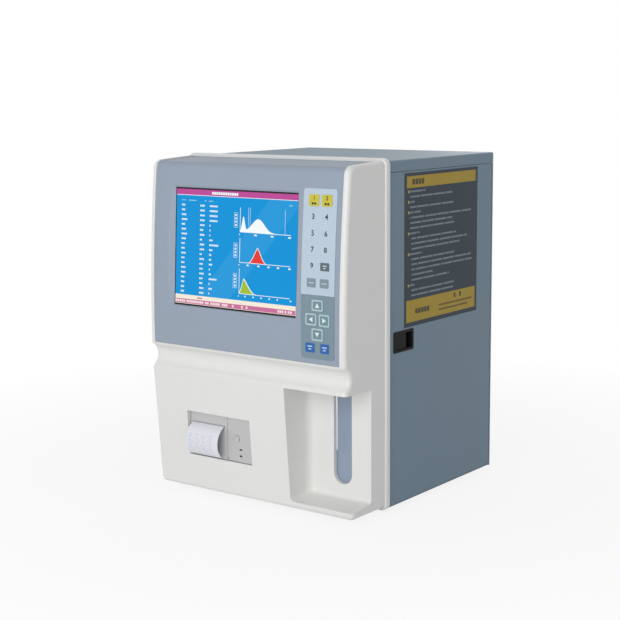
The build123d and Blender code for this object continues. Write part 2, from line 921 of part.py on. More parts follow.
# Printer door, with the slot for the paper and ears for the platen roller
door_left = house_left
door_right = door_split_x
door_back_y = printer_face_y + printer_plate
left_ear_x = house_left + printer_wall + ear_gap
right_ear_x = bay_right - ear_gap - ear
platen_left = left_ear_x + ear + ear_gap
platen_right = right_ear_x - ear_gap
with BuildPart() as printer_door:
    box_between(door_left, door_right, printer_face_y, door_back_y, house_bottom, house_top)
    fillet(faces().sort_by(Axis.Y)[0].edges(), fascia_edge)
    # The heel is cut back so that it clears the housing as the door swings down
    heel = nearest(edges().filter_by(Axis.X), (door_left + door_right) / 2, door_back_y, house_bottom)
    chamfer(heel, printer_door_heel)
    for eye_left in (door_left, door_right - ear):
        with BuildSketch(beside(eye_left)):
            with Locations((hinge_y, hinge_z)):
                Circle(hinge_eye_radius)
            with Locations((hinge_y + eye_back, hinge_z)):
                Rectangle(2 * eye_back, 2 * hinge_eye_radius)
        extrude(amount=ear)
    with BuildSketch(beside(door_left - printer_gap - printer_return + door_split_gap)):
        with Locations((hinge_y, hinge_z)):
            Circle(hinge_pin_radius)
    extrude(amount=printer_gap + printer_return)
    with BuildSketch(beside(door_right - door_split_gap)):
        with Locations((hinge_y, hinge_z)):
            Circle(hinge_pin_radius)
    extrude(amount=door_split_gap + printer_wall)
    for ear_x in (left_ear_x, right_ear_x):
        box_between(ear_x, ear_x + ear, door_back_y, platen_y + ear_reach, platen_z - ear_reach,
                    platen_z + ear_reach)
    with BuildSketch(beside(door_left)):
        with Locations((platen_y, platen_z)):
            Circle(platen_pin_radius + fit_gap)
    extrude(amount=door_right - door_left, mode=Mode.SUBTRACT)
    box_between(paper_left - paper_slot_play, paper_left + paper_width + paper_slot_play,
                printer_face_y - overlap, door_back_y + overlap, paper_slot_z - paper_slot_height / 2,
                paper_slot_z + paper_slot_height / 2, mode=Mode.SUBTRACT)
printer_door.part.label = "printer_door"
export_step(printer_door.part, "parts/printer_door.step")

# Paper strip: out of the slot, forward, down and back in one curl
curl_depth = math.sqrt(paper_radius ** 2 - (paper_slot_z - paper_curl_z) ** 2)
curl_y = printer_face_y + curl_depth
start_angle = math.degrees(math.acos(-curl_depth / paper_radius))
with BuildPart() as paper_strip:
    with BuildSketch(beside(paper_left)):
        with BuildLine():
            curl_centre = (curl_y, paper_curl_z)
            curl_sweep = paper_end_angle - start_angle
            outer_arc = CenterArc(curl_centre, paper_radius, start_angle, curl_sweep)
            inner_arc = CenterArc(curl_centre, paper_radius - paper_thickness, start_angle, curl_sweep)
            Line(outer_arc @ 0, inner_arc @ 0)
            Line(outer_arc @ 1, inner_arc @ 1)
        make_face()
    extrude(amount=paper_width)
    # Flat stretch through the slot
    box_between(paper_left, paper_left + paper_width, printer_face_y - paper_run_front,
                door_back_y + paper_run_back,
                paper_slot_z - paper_thickness, paper_slot_z)
paper_strip.part.label = "paper_strip"
export_step(paper_strip.part, "parts/paper_strip.step")

# Feed button and lamps
fascia_back_y = house_front_y + fascia_back
with BuildPart() as feed_button:
    with BuildSketch(across(fascia_back_y + ear_gap)):
        with Locations((button_x, button_z)):
            Circle(button_radius)
    extrude(amount=fascia_back_y + ear_gap - printer_face_y + button_rise)
    fillet(edges().sort_by(Axis.Y)[0], button_edge)
    with BuildSketch(across(fascia_back_y + ear_gap + button_lip)):
        with Locations((button_x, button_z)):
            Circle(button_radius + button_lip)
    extrude(amount=button_lip)
feed_button.part.label = "feed_button"
export_step(feed_button.part, "parts/feed_button.step")

with BuildPart() as printer_lamps:
    for z in lamp_z:
        box_between(lamp_x - lamp_width / 2, lamp_x + lamp_width / 2, printer_face_y - lamp_rise,
                    house_front_y + lamp_back, z - lamp_height / 2, z + lamp_height / 2)
printer_lamps.part.label = "printer_lamps"
export_step(printer_lamps.part, "parts/printer_lamps.step")

# Paper roll on its spindle
with BuildPart() as paper_roll:
    with BuildSketch(beside(paper_left)):
        with Locations((roll_y, roll_z)):
            Circle(roll_radius)
            Circle(roll_core, mode=Mode.SUBTRACT)
    extrude(amount=paper_width)
paper_roll.part.label = "paper_roll"
export_step(paper_roll.part, "parts/paper_roll.step")

with BuildPart() as roll_spindle:
    with BuildSketch(beside(house_left + printer_wall)):
        with Locations((roll_y, roll_z)):
            Circle(roll_core - roll_play)
    extrude(amount=bay_right - house_left - printer_wall)
roll_spindle.part.label = "roll_spindle"
export_step(roll_spindle.part, "parts/roll_spindle.step")

# Platen roller, rubber on a steel axle, in the door's ears
with BuildPart() as platen_roller:
    with BuildSketch(beside(platen_left)):
        with Locations((platen_y, platen_z)):
            Circle(platen_radius)
    extrude(amount=platen_right - platen_left)
    with BuildSketch(beside(left_ear_x)):
        with Locations((platen_y, platen_z)):
            Circle(platen_pin_radius)
    extrude(amount=right_ear_x + ear - left_ear_x)
platen_roller.part.label = "platen_roller"
export_step(platen_roller.part, "parts/platen_roller.step")

# Thermal print head, hung from the housing's roof behind the platen
head_y = platen_y + platen_radius + head_gap
with BuildPart() as print_head:
    box_between(paper_left, paper_left + paper_width, head_y, head_y + head_sheet,
                platen_z - head_drop, platen_z + head_rise)
    box_between(paper_left + head_arm_inset, paper_left + paper_width - head_arm_inset, head_y + head_sheet,
                head_y + head_sheet + head_arm, platen_z - head_arm_drop, house_top - printer_wall)
print_head.part.label = "print_head"
export_step(print_head.part, "parts/print_head.step")


# Wash block round the probe, on the niche's ceiling
wash_bottom = niche_ceiling + niche_wall
with BuildPart() as wash_block:
    with BuildSketch(level(wash_bottom)):
        with Locations((probe_x, probe_y)):
            Circle(wash_radius)
    extrude(amount=wash_height)
    with BuildSketch(beside(probe_x)):
        with Locations((probe_y, wash_bottom + wash_height / 2)):
            Circle(wash_port_radius)
    extrude(amount=wash_radius + wash_port_length)
    with BuildSketch(level(wash_bottom - overlap)):
        with Locations((probe_x, probe_y)):
            Circle(probe_radius + wash_gap)
    extrude(amount=wash_height + 2 * overlap, mode=Mode.SUBTRACT)
wash_block.part.label = "wash_block"
export_step(wash_block.part, "parts/wash_block.step")

# Probe tower: a folded bracket with two shelves
with BuildPart() as probe_tower:
    with BuildSketch(beside(tower_left)):
        with BuildLine():
            Polyline(
                (rim_y, tower_bottom), (rim_y, tower_top), (rim_y - tower_reach, tower_top),
                (rim_y - tower_reach, tower_top - tower_sheet),
                (rim_y - tower_sheet, tower_top - tower_sheet),
                (rim_y - tower_sheet, tower_bottom + tower_sheet),
                (rim_y - tower_reach, tower_bottom + tower_sheet), (rim_y - tower_reach, tower_bottom),
                close=True,
            )
        make_face()
    extrude(amount=tower_right - tower_left)
    fillet(edges().filter_by(Axis.Z).group_by(Axis.Y)[0], tower_corner)
    with BuildSketch(level(tower_bottom - overlap)):
        with Locations((rod_x, drive_y)):
            Circle(rod_radius)
        with Locations((screw_x, drive_y)):
            Circle(journal_radius + fit_gap)
    extrude(amount=tower_top - tower_bottom + 2 * overlap, mode=Mode.SUBTRACT)
    with BuildSketch(level(tower_bottom - overlap)):
        with Locations((probe_x, probe_y)):
            Circle(probe_radius + probe_play)
    extrude(amount=tower_sheet + 2 * overlap, mode=Mode.SUBTRACT)
probe_tower.part.label = "probe_tower"
export_step(probe_tower.part, "parts/probe_tower.step")

with BuildPart() as guide_rod:
    with BuildSketch(level(tower_bottom)):
        with Locations((rod_x, drive_y)):
            Circle(rod_radius)
    extrude(amount=tower_top - tower_bottom)
guide_rod.part.label = "guide_rod"
export_step(guide_rod.part, "parts/guide_rod.step")

# Lead screw with a journal at each end; the upper one reaches into the motor
screw_bottom = tower_bottom + tower_sheet + screw_end_gap
screw_top = tower_top - tower_sheet - screw_end_gap
with BuildPart() as lead_screw:
    with BuildSketch(level(screw_bottom)):
        with Locations((screw_x, drive_y)):
            Circle(screw_radius)
    extrude(amount=screw_top - screw_bottom)
    with BuildSketch(level(tower_bottom)):
        with Locations((screw_x, drive_y)):
            Circle(journal_radius)
    extrude(amount=tower_top + screw_drive_length - tower_bottom)
lead_screw.part.label = "lead_screw"
export_step(lead_screw.part, "parts/lead_screw.step")

with BuildPart() as probe_motor:
    with BuildSketch(level(tower_top)):
        with Locations((screw_x, drive_y)):
            RectangleRounded(probe_motor_size, probe_motor_size, motor_corner)
    extrude(amount=probe_motor_height)
    chamfer(faces().sort_by(Axis.Z)[-1].edges(), motor_edge)
    with BuildSketch(level(tower_top)):
        with Locations((screw_x, drive_y)):
            Circle(journal_radius + fit_gap)
    extrude(amount=motor_bore_depth, mode=Mode.SUBTRACT)
probe_motor.part.label = "probe_motor"
export_step(probe_motor.part, "parts/probe_motor.step")

# Carriage on the rod and the screw, and the probe that it holds
with BuildPart() as probe_carriage:
    with BuildSketch(level(carriage_bottom)):
        with Locations(((rod_x + screw_x) / 2, drive_y)):
            RectangleRounded(screw_x - rod_x + carriage_depth, carriage_depth, carriage_corner)
        with Locations((probe_x, (probe_y + drive_y) / 2)):
            RectangleRounded(carriage_arm, drive_y - probe_y + carriage_arm, carriage_arm_corner)
    extrude(amount=carriage_height)
    with BuildSketch(level(carriage_bottom - overlap)):
        with Locations((rod_x, drive_y)):
            Circle(rod_radius + fit_gap)
        with Locations((screw_x, drive_y)):
            Circle(screw_radius + fit_gap)
        with Locations((probe_x, probe_y)):
            Circle(probe_radius)
    extrude(amount=carriage_height + 2 * overlap, mode=Mode.SUBTRACT)
probe_carriage.part.label = "probe_carriage"
export_step(probe_carriage.part, "parts/probe_carriage.step")

with BuildPart() as sample_probe:
    with BuildSketch(level(probe_tip_z)):
        with Locations((probe_x, probe_y)):
            Circle(probe_radius)
            Circle(probe_bore, mode=Mode.SUBTRACT)
    extrude(amount=probe_top_z - probe_tip_z)
sample_probe.part.label = "sample_probe"
export_step(sample_probe.part, "parts/sample_probe.step")


# Aspirate plate behind the slot, with two sleeves on its back
plate_front_y = slot_rear_y + plate_gap
plate_back_y = plate_front_y + plate_thickness
sleeve_end_y = plate_back_y + boss_length
bracket_y = sleeve_end_y + bracket_gap
with BuildPart() as aspirate_plate:
    with BuildSketch(across(plate_back_y)):
        with Locations((slot_x, (plate_bottom + plate_top) / 2)):
            RectangleRounded(plate_width, plate_top - plate_bottom, plate_corner)
    extrude(amount=plate_thickness)
    fillet(faces().sort_by(Axis.Y)[0].edges(), plate_edge)
    with BuildSketch(across(sleeve_end_y)):
        for z in guide_pin_z:
            with Locations((slot_x, z)):
                Circle(boss_radius)
    extrude(amount=boss_length)
    with BuildSketch(across(sleeve_end_y)):
        for z in guide_pin_z:
            with Locations((slot_x, z)):
                Circle(guide_pin_radius + fit_gap)
    extrude(amount=boss_length, mode=Mode.SUBTRACT)
aspirate_plate.part.label = "aspirate_plate"
export_step(aspirate_plate.part, "parts/aspirate_plate.step")

# Bracket with the guide pins and four posts to the front frame
with BuildPart() as aspirate_bracket:
    with BuildSketch(across(bracket_y + tower_sheet)):
        with Locations((slot_x, (bracket_bottom + bracket_top) / 2)):
            Rectangle(bracket_width, bracket_top - bracket_bottom)
    extrude(amount=tower_sheet)
    with BuildSketch(across(rim_y)):
        with Locations((slot_x, (bracket_bottom + bracket_top) / 2)):
            with GridLocations(bracket_width - 2 * post_side_inset,
                               bracket_top - bracket_bottom - 2 * post_end_inset, 2, 2):
                Circle(post_radius)
    extrude(amount=rim_y - bracket_y - tower_sheet)
    with BuildSketch(across(bracket_y)):
        for z in guide_pin_z:
            with Locations((slot_x, z)):
                Circle(guide_pin_radius)
    extrude(amount=bracket_y - plate_back_y - plate_travel - pin_end_gap)
aspirate_bracket.part.label = "aspirate_bracket"
export_step(aspirate_bracket.part, "parts/aspirate_bracket.step")


# Front frame: folded sheet that carries the bezel, the tower and the aspirate bracket
frame_bottom = base_z + sheet
frame_top = top_z - sheet
with BuildPart() as front_frame:
    box_between(-frame_half, frame_half, rim_y, rim_y + sheet, frame_bottom, frame_top)
    box_between(-frame_half, -frame_half + sheet, rim_y, rim_y + fold, frame_bottom, frame_top)
    box_between(-frame_half, frame_half, rim_y, rim_y + fold, frame_top - sheet, frame_top)
    box_between(window_left, window_right, rim_y - overlap, rim_y + sheet + overlap, window_bottom,
                window_top, mode=Mode.SUBTRACT)
    with BuildSketch(across(rim_y + sheet + overlap)):
        with Locations(*screw_places):
            Circle(frame_hole_radius)
    extrude(amount=sheet + 2 * overlap, mode=Mode.SUBTRACT)
front_frame.part.label = "front_frame"
export_step(front_frame.part, "parts/front_frame.step")

# Base pan with folds up at the left and at the rear
seam_z = top_z - cover_skirt
pan_rear = rear_y - sheet - seat_gap
with BuildPart() as base_pan:
    box_between(-frame_half, frame_half, rim_y, pan_rear, base_z, base_z + sheet)
    box_between(-frame_half, -frame_half + sheet, rim_y + fold + overlap, pan_rear, base_z, base_z + pan_fold)
    box_between(-frame_half, frame_half - fold, pan_rear - sheet, pan_rear, base_z, base_z + pan_fold)
base_pan.part.label = "base_pan"
export_step(base_pan.part, "parts/base_pan.step")

with BuildPart() as left_side_panel:
    panel_rear = rear_y - rear_wrap - rear_seam / 2
    box_between(-half_case, -half_case + sheet, rim_y + side_gap, panel_rear, base_z, seam_z - cover_gap)
left_side_panel.part.label = "left_side_panel"
export_step(left_side_panel.part, "parts/left_side_panel.step")

# Rear panel: a shallow pan that wraps round both sides, with cut-outs and a louvre field
with BuildPart() as rear_panel:
    box_between(-half_case, half_case, rear_y - rear_wrap, rear_y, base_z, seam_z - cover_gap)
    fillet(edges().filter_by(Axis.Z).group_by(Axis.Y)[-1], bend_radius)
    box_between(-half_case + sheet, half_case - sheet, rear_y - rear_wrap - overlap, rear_y - sheet,
                base_z - overlap, seam_z, mode=Mode.SUBTRACT)
    with BuildSketch(across(rear_y + overlap)):
        with Locations((fan_x, fan_z)):
            Circle(fan_bore)
        with Locations((inlet_x, inlet_z)):
            Rectangle(inlet_body_width + 2 * cutout_gap, inlet_body_height + 2 * cutout_gap)
        with Locations((inlet_x, rocker_z)):
            Rectangle(rocker_body_width + 2 * cutout_gap, rocker_body_height + 2 * cutout_gap)
        with Locations((earth_x, inlet_z)):
            Circle(earth_radius + seat_gap)
        for i in range(fitting_count):
            with Locations((fitting_x, fitting_first_z + i * fitting_pitch)):
                Circle(fitting_stem + seat_gap)
        for i in range(socket_count):
            with Locations((inlet_x, socket_z + i * socket_pitch)):
                Rectangle(socket_body_width + 2 * socket_gap, socket_body_height + 2 * socket_gap)
        with Locations((louvre_x, fan_z)):
            with GridLocations(louvre_pitch_x, louvre_pitch_z, louvre_columns, louvre_rows):
                SlotOverall(louvre_length, louvre_height)
    extrude(amount=sheet + 2 * overlap, mode=Mode.SUBTRACT)
rear_panel.part.label = "rear_panel"
export_step(rear_panel.part, "parts/rear_panel.step")

# Top cover: a shallow inverted tray with rounded bends
with BuildPart() as top_cover:
    box_between(-half_case, half_case, rim_y, rear_y, seam_z, top_z)
    fillet(edges().filter_by(Axis.Z).group_by(Axis.Y)[-1], bend_radius)
    fillet([e for e in faces().sort_by(Axis.Z)[-1].edges() if e.center().Y > rim_y + near], bend_radius)
    box_between(-half_case + sheet, half_case - sheet, rim_y - overlap, rear_y - sheet, seam_z - overlap,
                top_z - sheet, mode=Mode.SUBTRACT)
top_cover.part.label = "top_cover"
export_step(top_cover.part, "parts/top_cover.step")


# Side door: a pan with folds at its front, top and bottom, open at its hinged edge
door_rear = rear_y - rear_wrap - rear_seam
door_top = seam_z - cover_gap
fold_rear = pivot_y + pivot_fold_reach
with BuildPart() as side_door:
    box_between(inner_x, half_case, door_front, door_rear, door_bottom, door_top)
    box_between(inner_x - door_flange, inner_x, door_front, door_front + sheet, door_flange_bottom,
                door_top - door_flange_top_gap)
    for z in (door_flange_bottom, door_top - door_flange_top_gap - sheet):
        with BuildSketch(level(z)):
            with Locations((inner_x - door_flange / 2, (door_front + fold_rear) / 2)):
                Rectangle(door_flange, fold_rear - door_front)
            with Locations((pivot_x, pivot_y)):
                Circle(pivot_radius + pivot_play, mode=Mode.SUBTRACT)
        extrude(amount=sheet)
    with BuildSketch(beside(inner_x - overlap)):
        with Locations((latch_y, latch_z)):
            Rectangle(latch_width - 2 * latch_rim + 2 * latch_cut_gap,
                      latch_height - 2 * latch_rim + 2 * latch_cut_gap)
    extrude(amount=sheet + 2 * overlap, mode=Mode.SUBTRACT)
side_door.part.label = "side_door"
export_step(side_door.part, "parts/side_door.step")

with BuildPart() as door_sheet:
    box_between(half_case, half_case + label_thickness, label_front, label_rear, label_bottom, label_top)
door_sheet.part.label = "door_sheet"
export_step(door_sheet.part, "parts/door_sheet.step")

# Pivot brackets on the rear corner and the pins that they hold
bracket_z = door_top + pivot_bracket_gap
bracket_left = pivot_x - pivot_bracket_width
bracket_right = inner_x - pivot_side_gap
with BuildPart() as pivot_brackets:
    box_between(bracket_left, bracket_right, pivot_y - pivot_bracket_reach, rear_y - sheet, bracket_z,
                bracket_z + pivot_bracket_sheet)
    box_between(bracket_left, bracket_right, rear_y - sheet - pivot_bracket_sheet, rear_y - sheet,
                bracket_z - pivot_bracket_drop, bracket_z)
    with BuildSketch(level(bracket_z - overlap)):
        with Locations((pivot_x, pivot_y)):
            Circle(pivot_radius)
    extrude(amount=pivot_bracket_sheet + 2 * overlap, mode=Mode.SUBTRACT)
pivot_brackets.part.label = "pivot_brackets"
export_step(pivot_brackets.part, "parts/pivot_brackets.step")

with BuildPart() as pivot_pins:
    with BuildSketch(level(door_top - pivot_length)):
        with Locations((pivot_x, pivot_y)):
            Circle(pivot_radius)
    extrude(amount=bracket_z + pivot_bracket_sheet - door_top + pivot_length)
    with BuildSketch(level(base_z + sheet)):
        with Locations((pivot_x, pivot_y)):
            Circle(pivot_radius)
    extrude(amount=pivot_length)
pivot_pins.part.label = "pivot_pins"
export_step(pivot_pins.part, "parts/pivot_pins.step")

# Flush latch: a tray let into the door and a paddle that covers its front half
latch_front = latch_y - latch_width / 2
latch_back = latch_y + latch_width / 2
latch_low = latch_z - latch_height / 2
latch_high = latch_z + latch_height / 2
latch_face = half_case + latch_flange
pocket_inset = latch_rim + latch_wall
paddle_start = latch_front + pocket_inset + paddle_gap
paddle_pin_y = paddle_start + paddle_pin_back
paddle_pin_x = half_case - paddle_sink - paddle_pin_inset
paddle_pin_z = latch_low + latch_rim + paddle_pin_seat
with BuildPart() as latch_housing:
    with BuildSketch(beside(half_case)):
        with Locations((latch_y, latch_z)):
            RectangleRounded(latch_width, latch_height, latch_corner)
    extrude(amount=latch_flange)
    fillet(faces().sort_by(Axis.X)[-1].edges(), latch_edge)
    box_between(half_case - latch_depth, half_case, latch_front + latch_rim, latch_back - latch_rim,
                latch_low + latch_rim, latch_high - latch_rim)
    box_between(half_case - latch_pocket, latch_face + overlap, latch_front + pocket_inset,
                latch_back - pocket_inset, latch_low + pocket_inset, latch_high - pocket_inset,
                mode=Mode.SUBTRACT)
    with BuildSketch(level(paddle_pin_z)):
        with Locations((paddle_pin_x, paddle_pin_y)):
            Circle(paddle_pin_radius + fit_gap)
    extrude(amount=latch_height - 2 * latch_rim - 2 * paddle_pin_seat, mode=Mode.SUBTRACT)
latch_housing.part.label = "latch_housing"
export_step(latch_housing.part, "parts/latch_housing.step")

with BuildPart() as latch_paddle:
    box_between(half_case - paddle_sink - paddle_thickness, half_case - paddle_sink, paddle_start,
                paddle_start + paddle_width, latch_low + pocket_inset + paddle_gap,
                latch_high - pocket_inset - paddle_gap)
    fillet(edges().filter_by(Axis.Z).group_by(Axis.Y)[0], paddle_edge)
    with BuildSketch(level(paddle_pin_z + paddle_pin_gap)):
        with Locations((paddle_pin_x, paddle_pin_y)):
            Circle(paddle_pin_radius)
    extrude(amount=latch_height - 2 * latch_rim - 2 * paddle_pin_seat - 2 * paddle_pin_gap)
latch_paddle.part.label = "latch_paddle"
export_step(latch_paddle.part, "parts/latch_paddle.step")


# Mounting plate of the fluid parts, folded at its foot
with BuildPart() as mounting_plate:
    box_between(mount_x - mount_sheet, mount_x, rim_y + mount_inset, pan_rear - mount_inset, floor_z,
                mount_top)
    box_between(mount_x - mount_foot, mount_x, rim_y + mount_inset, pan_rear - mount_inset, floor_z,
                floor_z + mount_sheet)
    with BuildSketch(beside(mount_x + overlap)):
        with Locations(*pass_places):
            SlotOverall(pass_length, pass_height)
    extrude(amount=-mount_sheet - 2 * overlap, mode=Mode.SUBTRACT)
mounting_plate.part.label = "mounting_plate"
export_step(mounting_plate.part, "parts/mounting_plate.step")

# Bath holder and the two counting baths that hang in it
with BuildPart() as bath_holder:
    box_between(mount_x, bath_x + bath_radius + holder_margin, bath_y[0] - bath_radius - holder_margin,
                bath_y[1] + bath_radius + holder_margin, bath_seat_z - holder_height, bath_seat_z)
    fillet(edges().filter_by(Axis.Z).group_by(Axis.X)[-1], holder_corner)
    with BuildSketch(level(bath_seat_z)):
        for y in bath_y:
            with Locations((bath_x, y)):
                Circle(bath_radius + bath_gap)
    extrude(amount=-holder_height, mode=Mode.SUBTRACT)
bath_holder.part.label = "bath_holder"
export_step(bath_holder.part, "parts/bath_holder.step")

for bath_name, y in zip(("white_cell_bath", "red_cell_bath"), bath_y):
    with BuildPart(Plane(origin=(bath_x, y, 0))) as bath:
        with BuildSketch(Plane(origin=(bath_x, y, 0), x_dir=(1, 0, 0), z_dir=(0, -1, 0))):
            with BuildLine():
                low_z = bath_seat_z - bath_drop
                outlet_z = low_z - bath_cone - bath_outlet_length
                Polyline(
                    (bath_radius - bath_wall, bath_seat_z + bath_rise),
                    (bath_radius, bath_seat_z + bath_rise),
                    (bath_radius, bath_seat_z + bath_lip),
                    (bath_radius + bath_lip, bath_seat_z + bath_lip),
                    (bath_radius + bath_lip, bath_seat_z),
                    (bath_radius, bath_seat_z),
                    (bath_radius, low_z),
                    (bath_outlet_radius, low_z - bath_cone),
                    (bath_outlet_radius, outlet_z),
                    (bath_outlet_radius / 2, outlet_z),
                    (bath_outlet_radius / 2, low_z - bath_cone + bath_floor),
                    (bath_radius - bath_wall, low_z + bath_floor),
                    close=True,
                )
            make_face()
        revolve(axis=Axis((bath_x, y, 0), (0, 0, 1)))
    bath.part.label = bath_name
    export_step(bath.part, f"parts/{bath_name}.step")

# Syringe bracket with its clamp block and the motor's shelf
syringe_mid_y = sum(syringe_y) / 2
with BuildPart() as syringe_bracket:
    box_between(mount_x, mount_x + bracket_back_sheet, syringe_y[0] - bracket_back_margin,
                syringe_y[1] + bracket_back_margin, syringe_shelf_z, bracket_back_top)
    box_between(mount_x, syringe_x + clamp_half, syringe_y[0] - clamp_half, syringe_y[1] + clamp_half,
                syringe_seat_z, syringe_seat_z + clamp_height)
    box_between(mount_x, syringe_x + shelf_half, syringe_mid_y - shelf_half, syringe_mid_y + shelf_half,
                syringe_shelf_z, syringe_shelf_z + shelf_sheet)
    with BuildSketch(level(syringe_seat_z)):
        for y in syringe_y:
            with Locations((syringe_x, y)):
                Circle(syringe_radius)
        with Locations((syringe_x, syringe_mid_y)):
            Circle(syringe_screw_radius + clamp_screw_gap)
    extrude(amount=clamp_height, mode=Mode.SUBTRACT)
    with BuildSketch(level(syringe_shelf_z)):
        with Locations((syringe_x, syringe_mid_y)):
            Circle(journal_radius + fit_gap)
    extrude(amount=shelf_sheet, mode=Mode.SUBTRACT)
syringe_bracket.part.label = "syringe_bracket"
export_step(syringe_bracket.part, "parts/syringe_bracket.step")

with BuildPart() as syringe_barrels:
    for y in syringe_y:
        with BuildSketch(level(syringe_seat_z)):
            with Locations((syringe_x, y)):
                Circle(syringe_radius)
                Circle(syringe_bore, mode=Mode.SUBTRACT)
        extrude(amount=syringe_length)
        with BuildSketch(level(syringe_seat_z + syringe_length)):
            with Locations((syringe_x, y)):
                Circle(syringe_radius)
        extrude(amount=syringe_end)
        with BuildSketch(level(syringe_seat_z + syringe_length + syringe_end)):
            with Locations((syringe_x, y)):
                Circle(nozzle_radius)
        extrude(amount=nozzle_length)
syringe_barrels.part.label = "syringe_barrels"
export_step(syringe_barrels.part, "parts/syringe_barrels.step")

# Both plungers and the yoke that moves them
piston_z = syringe_seat_z + syringe_travel + piston_rise
with BuildPart() as syringe_plungers:
    with BuildSketch(level(yoke_z)):
        with Locations((syringe_x, syringe_mid_y)):
            RectangleRounded(yoke_width, syringe_y[1] - syringe_y[0] + yoke_margin, yoke_corner)
            Circle(syringe_screw_radius + fit_gap, mode=Mode.SUBTRACT)
    extrude(amount=yoke_height)
    with BuildSketch(level(yoke_z + yoke_height)):
        for y in syringe_y:
            with Locations((syringe_x, y)):
                Circle(plunger_radius)
    extrude(amount=piston_z - yoke_z - yoke_height)
    with BuildSketch(level(piston_z)):
        for y in syringe_y:
            with Locations((syringe_x, y)):
                Circle(syringe_bore - piston_gap)
    extrude(amount=piston_height)
syringe_plungers.part.label = "syringe_plungers"
export_step(syringe_plungers.part, "parts/syringe_plungers.step")

with BuildPart() as syringe_screw:
    screw_low = syringe_shelf_z + shelf_sheet + screw_end_gap
    with BuildSketch(level(screw_low)):
        with Locations((syringe_x, syringe_mid_y)):
            Circle(syringe_screw_radius)
    extrude(amount=syringe_seat_z + screw_top_reach - screw_low)
    with BuildSketch(level(syringe_shelf_z - screw_foot)):
        with Locations((syringe_x, syringe_mid_y)):
            Circle(journal_radius)
    extrude(amount=screw_low + overlap - syringe_shelf_z + screw_foot)
syringe_screw.part.label = "syringe_screw"
export_step(syringe_screw.part, "parts/syringe_screw.step")

with BuildPart() as syringe_motor:
    with BuildSketch(level(syringe_shelf_z)):
        with Locations((syringe_x, syringe_mid_y)):
            RectangleRounded(syringe_motor_size, syringe_motor_size, motor_corner)
    extrude(amount=-syringe_motor_height)
    with BuildSketch(level(syringe_shelf_z)):
        with Locations((syringe_x, syringe_mid_y)):
            Circle(journal_radius + fit_gap)
    extrude(amount=-motor_bore_depth, mode=Mode.SUBTRACT)
syringe_motor.part.label = "syringe_motor"
export_step(syringe_motor.part, "parts/syringe_motor.step")

# Pinch valves in a row on the mounting plate
valve_pipe_x = mount_x + valve_reach + valve_pipe_reach
with BuildPart() as pinch_valves:
    for i in range(valve_count):
        y = valve_first_y + i * valve_pitch
        box_between(mount_x, mount_x + valve_reach, y - valve_size / 2, y + valve_size / 2,
                    valve_z - valve_size / 2, valve_z + valve_size / 2)
        with BuildSketch(beside(mount_x + valve_reach)):
            with Locations((y, valve_z)):
                Circle(valve_coil_radius)
        extrude(amount=valve_coil_length)
        with BuildSketch(level(valve_z)):
            with Locations((valve_pipe_x, y)):
                Circle(valve_pipe_radius)
        extrude(amount=valve_size, both=True)
pinch_valves.part.label = "pinch_valves"
export_step(pinch_valves.part, "parts/pinch_valves.step")

# Diaphragm pump and vacuum chamber on the base pan
with BuildPart() as diaphragm_pump:
    box_between(pump_left, pump_left + pump_width, pump_front_y, pump_front_y + pump_body_length,
                floor_z, floor_z + pump_height)
    with BuildSketch(across(pump_front_y + pump_body_length + pump_motor_length)):
        with Locations((pump_left + pump_width / 2, floor_z + pump_height / 2)):
            Circle(pump_motor_radius)
    extrude(amount=pump_motor_length)
    with BuildSketch(level(floor_z + pump_height)):
        for x in pump_port_places:
            with Locations((pump_left + x, pump_front_y + pump_port_front)):
                Circle(port_radius)
    extrude(amount=pump_port_length)
diaphragm_pump.part.label = "diaphragm_pump"
export_step(diaphragm_pump.part, "parts/diaphragm_pump.step")

with BuildPart() as vacuum_chamber:
    with BuildSketch(level(floor_z)):
        with Locations((chamber_x, chamber_y)):
            Circle(chamber_radius)
    extrude(amount=chamber_height)
    fillet(edges().group_by(Axis.Z)[-1], chamber_edge)
    with BuildSketch(level(floor_z + chamber_height)):
        for x in (chamber_x - chamber_port_spread, chamber_x + chamber_port_spread):
            with Locations((x, chamber_y)):
                Circle(port_radius)
    extrude(amount=chamber_port_length)
vacuum_chamber.part.label = "vacuum_chamber"
export_step(vacuum_chamber.part, "parts/vacuum_chamber.step")


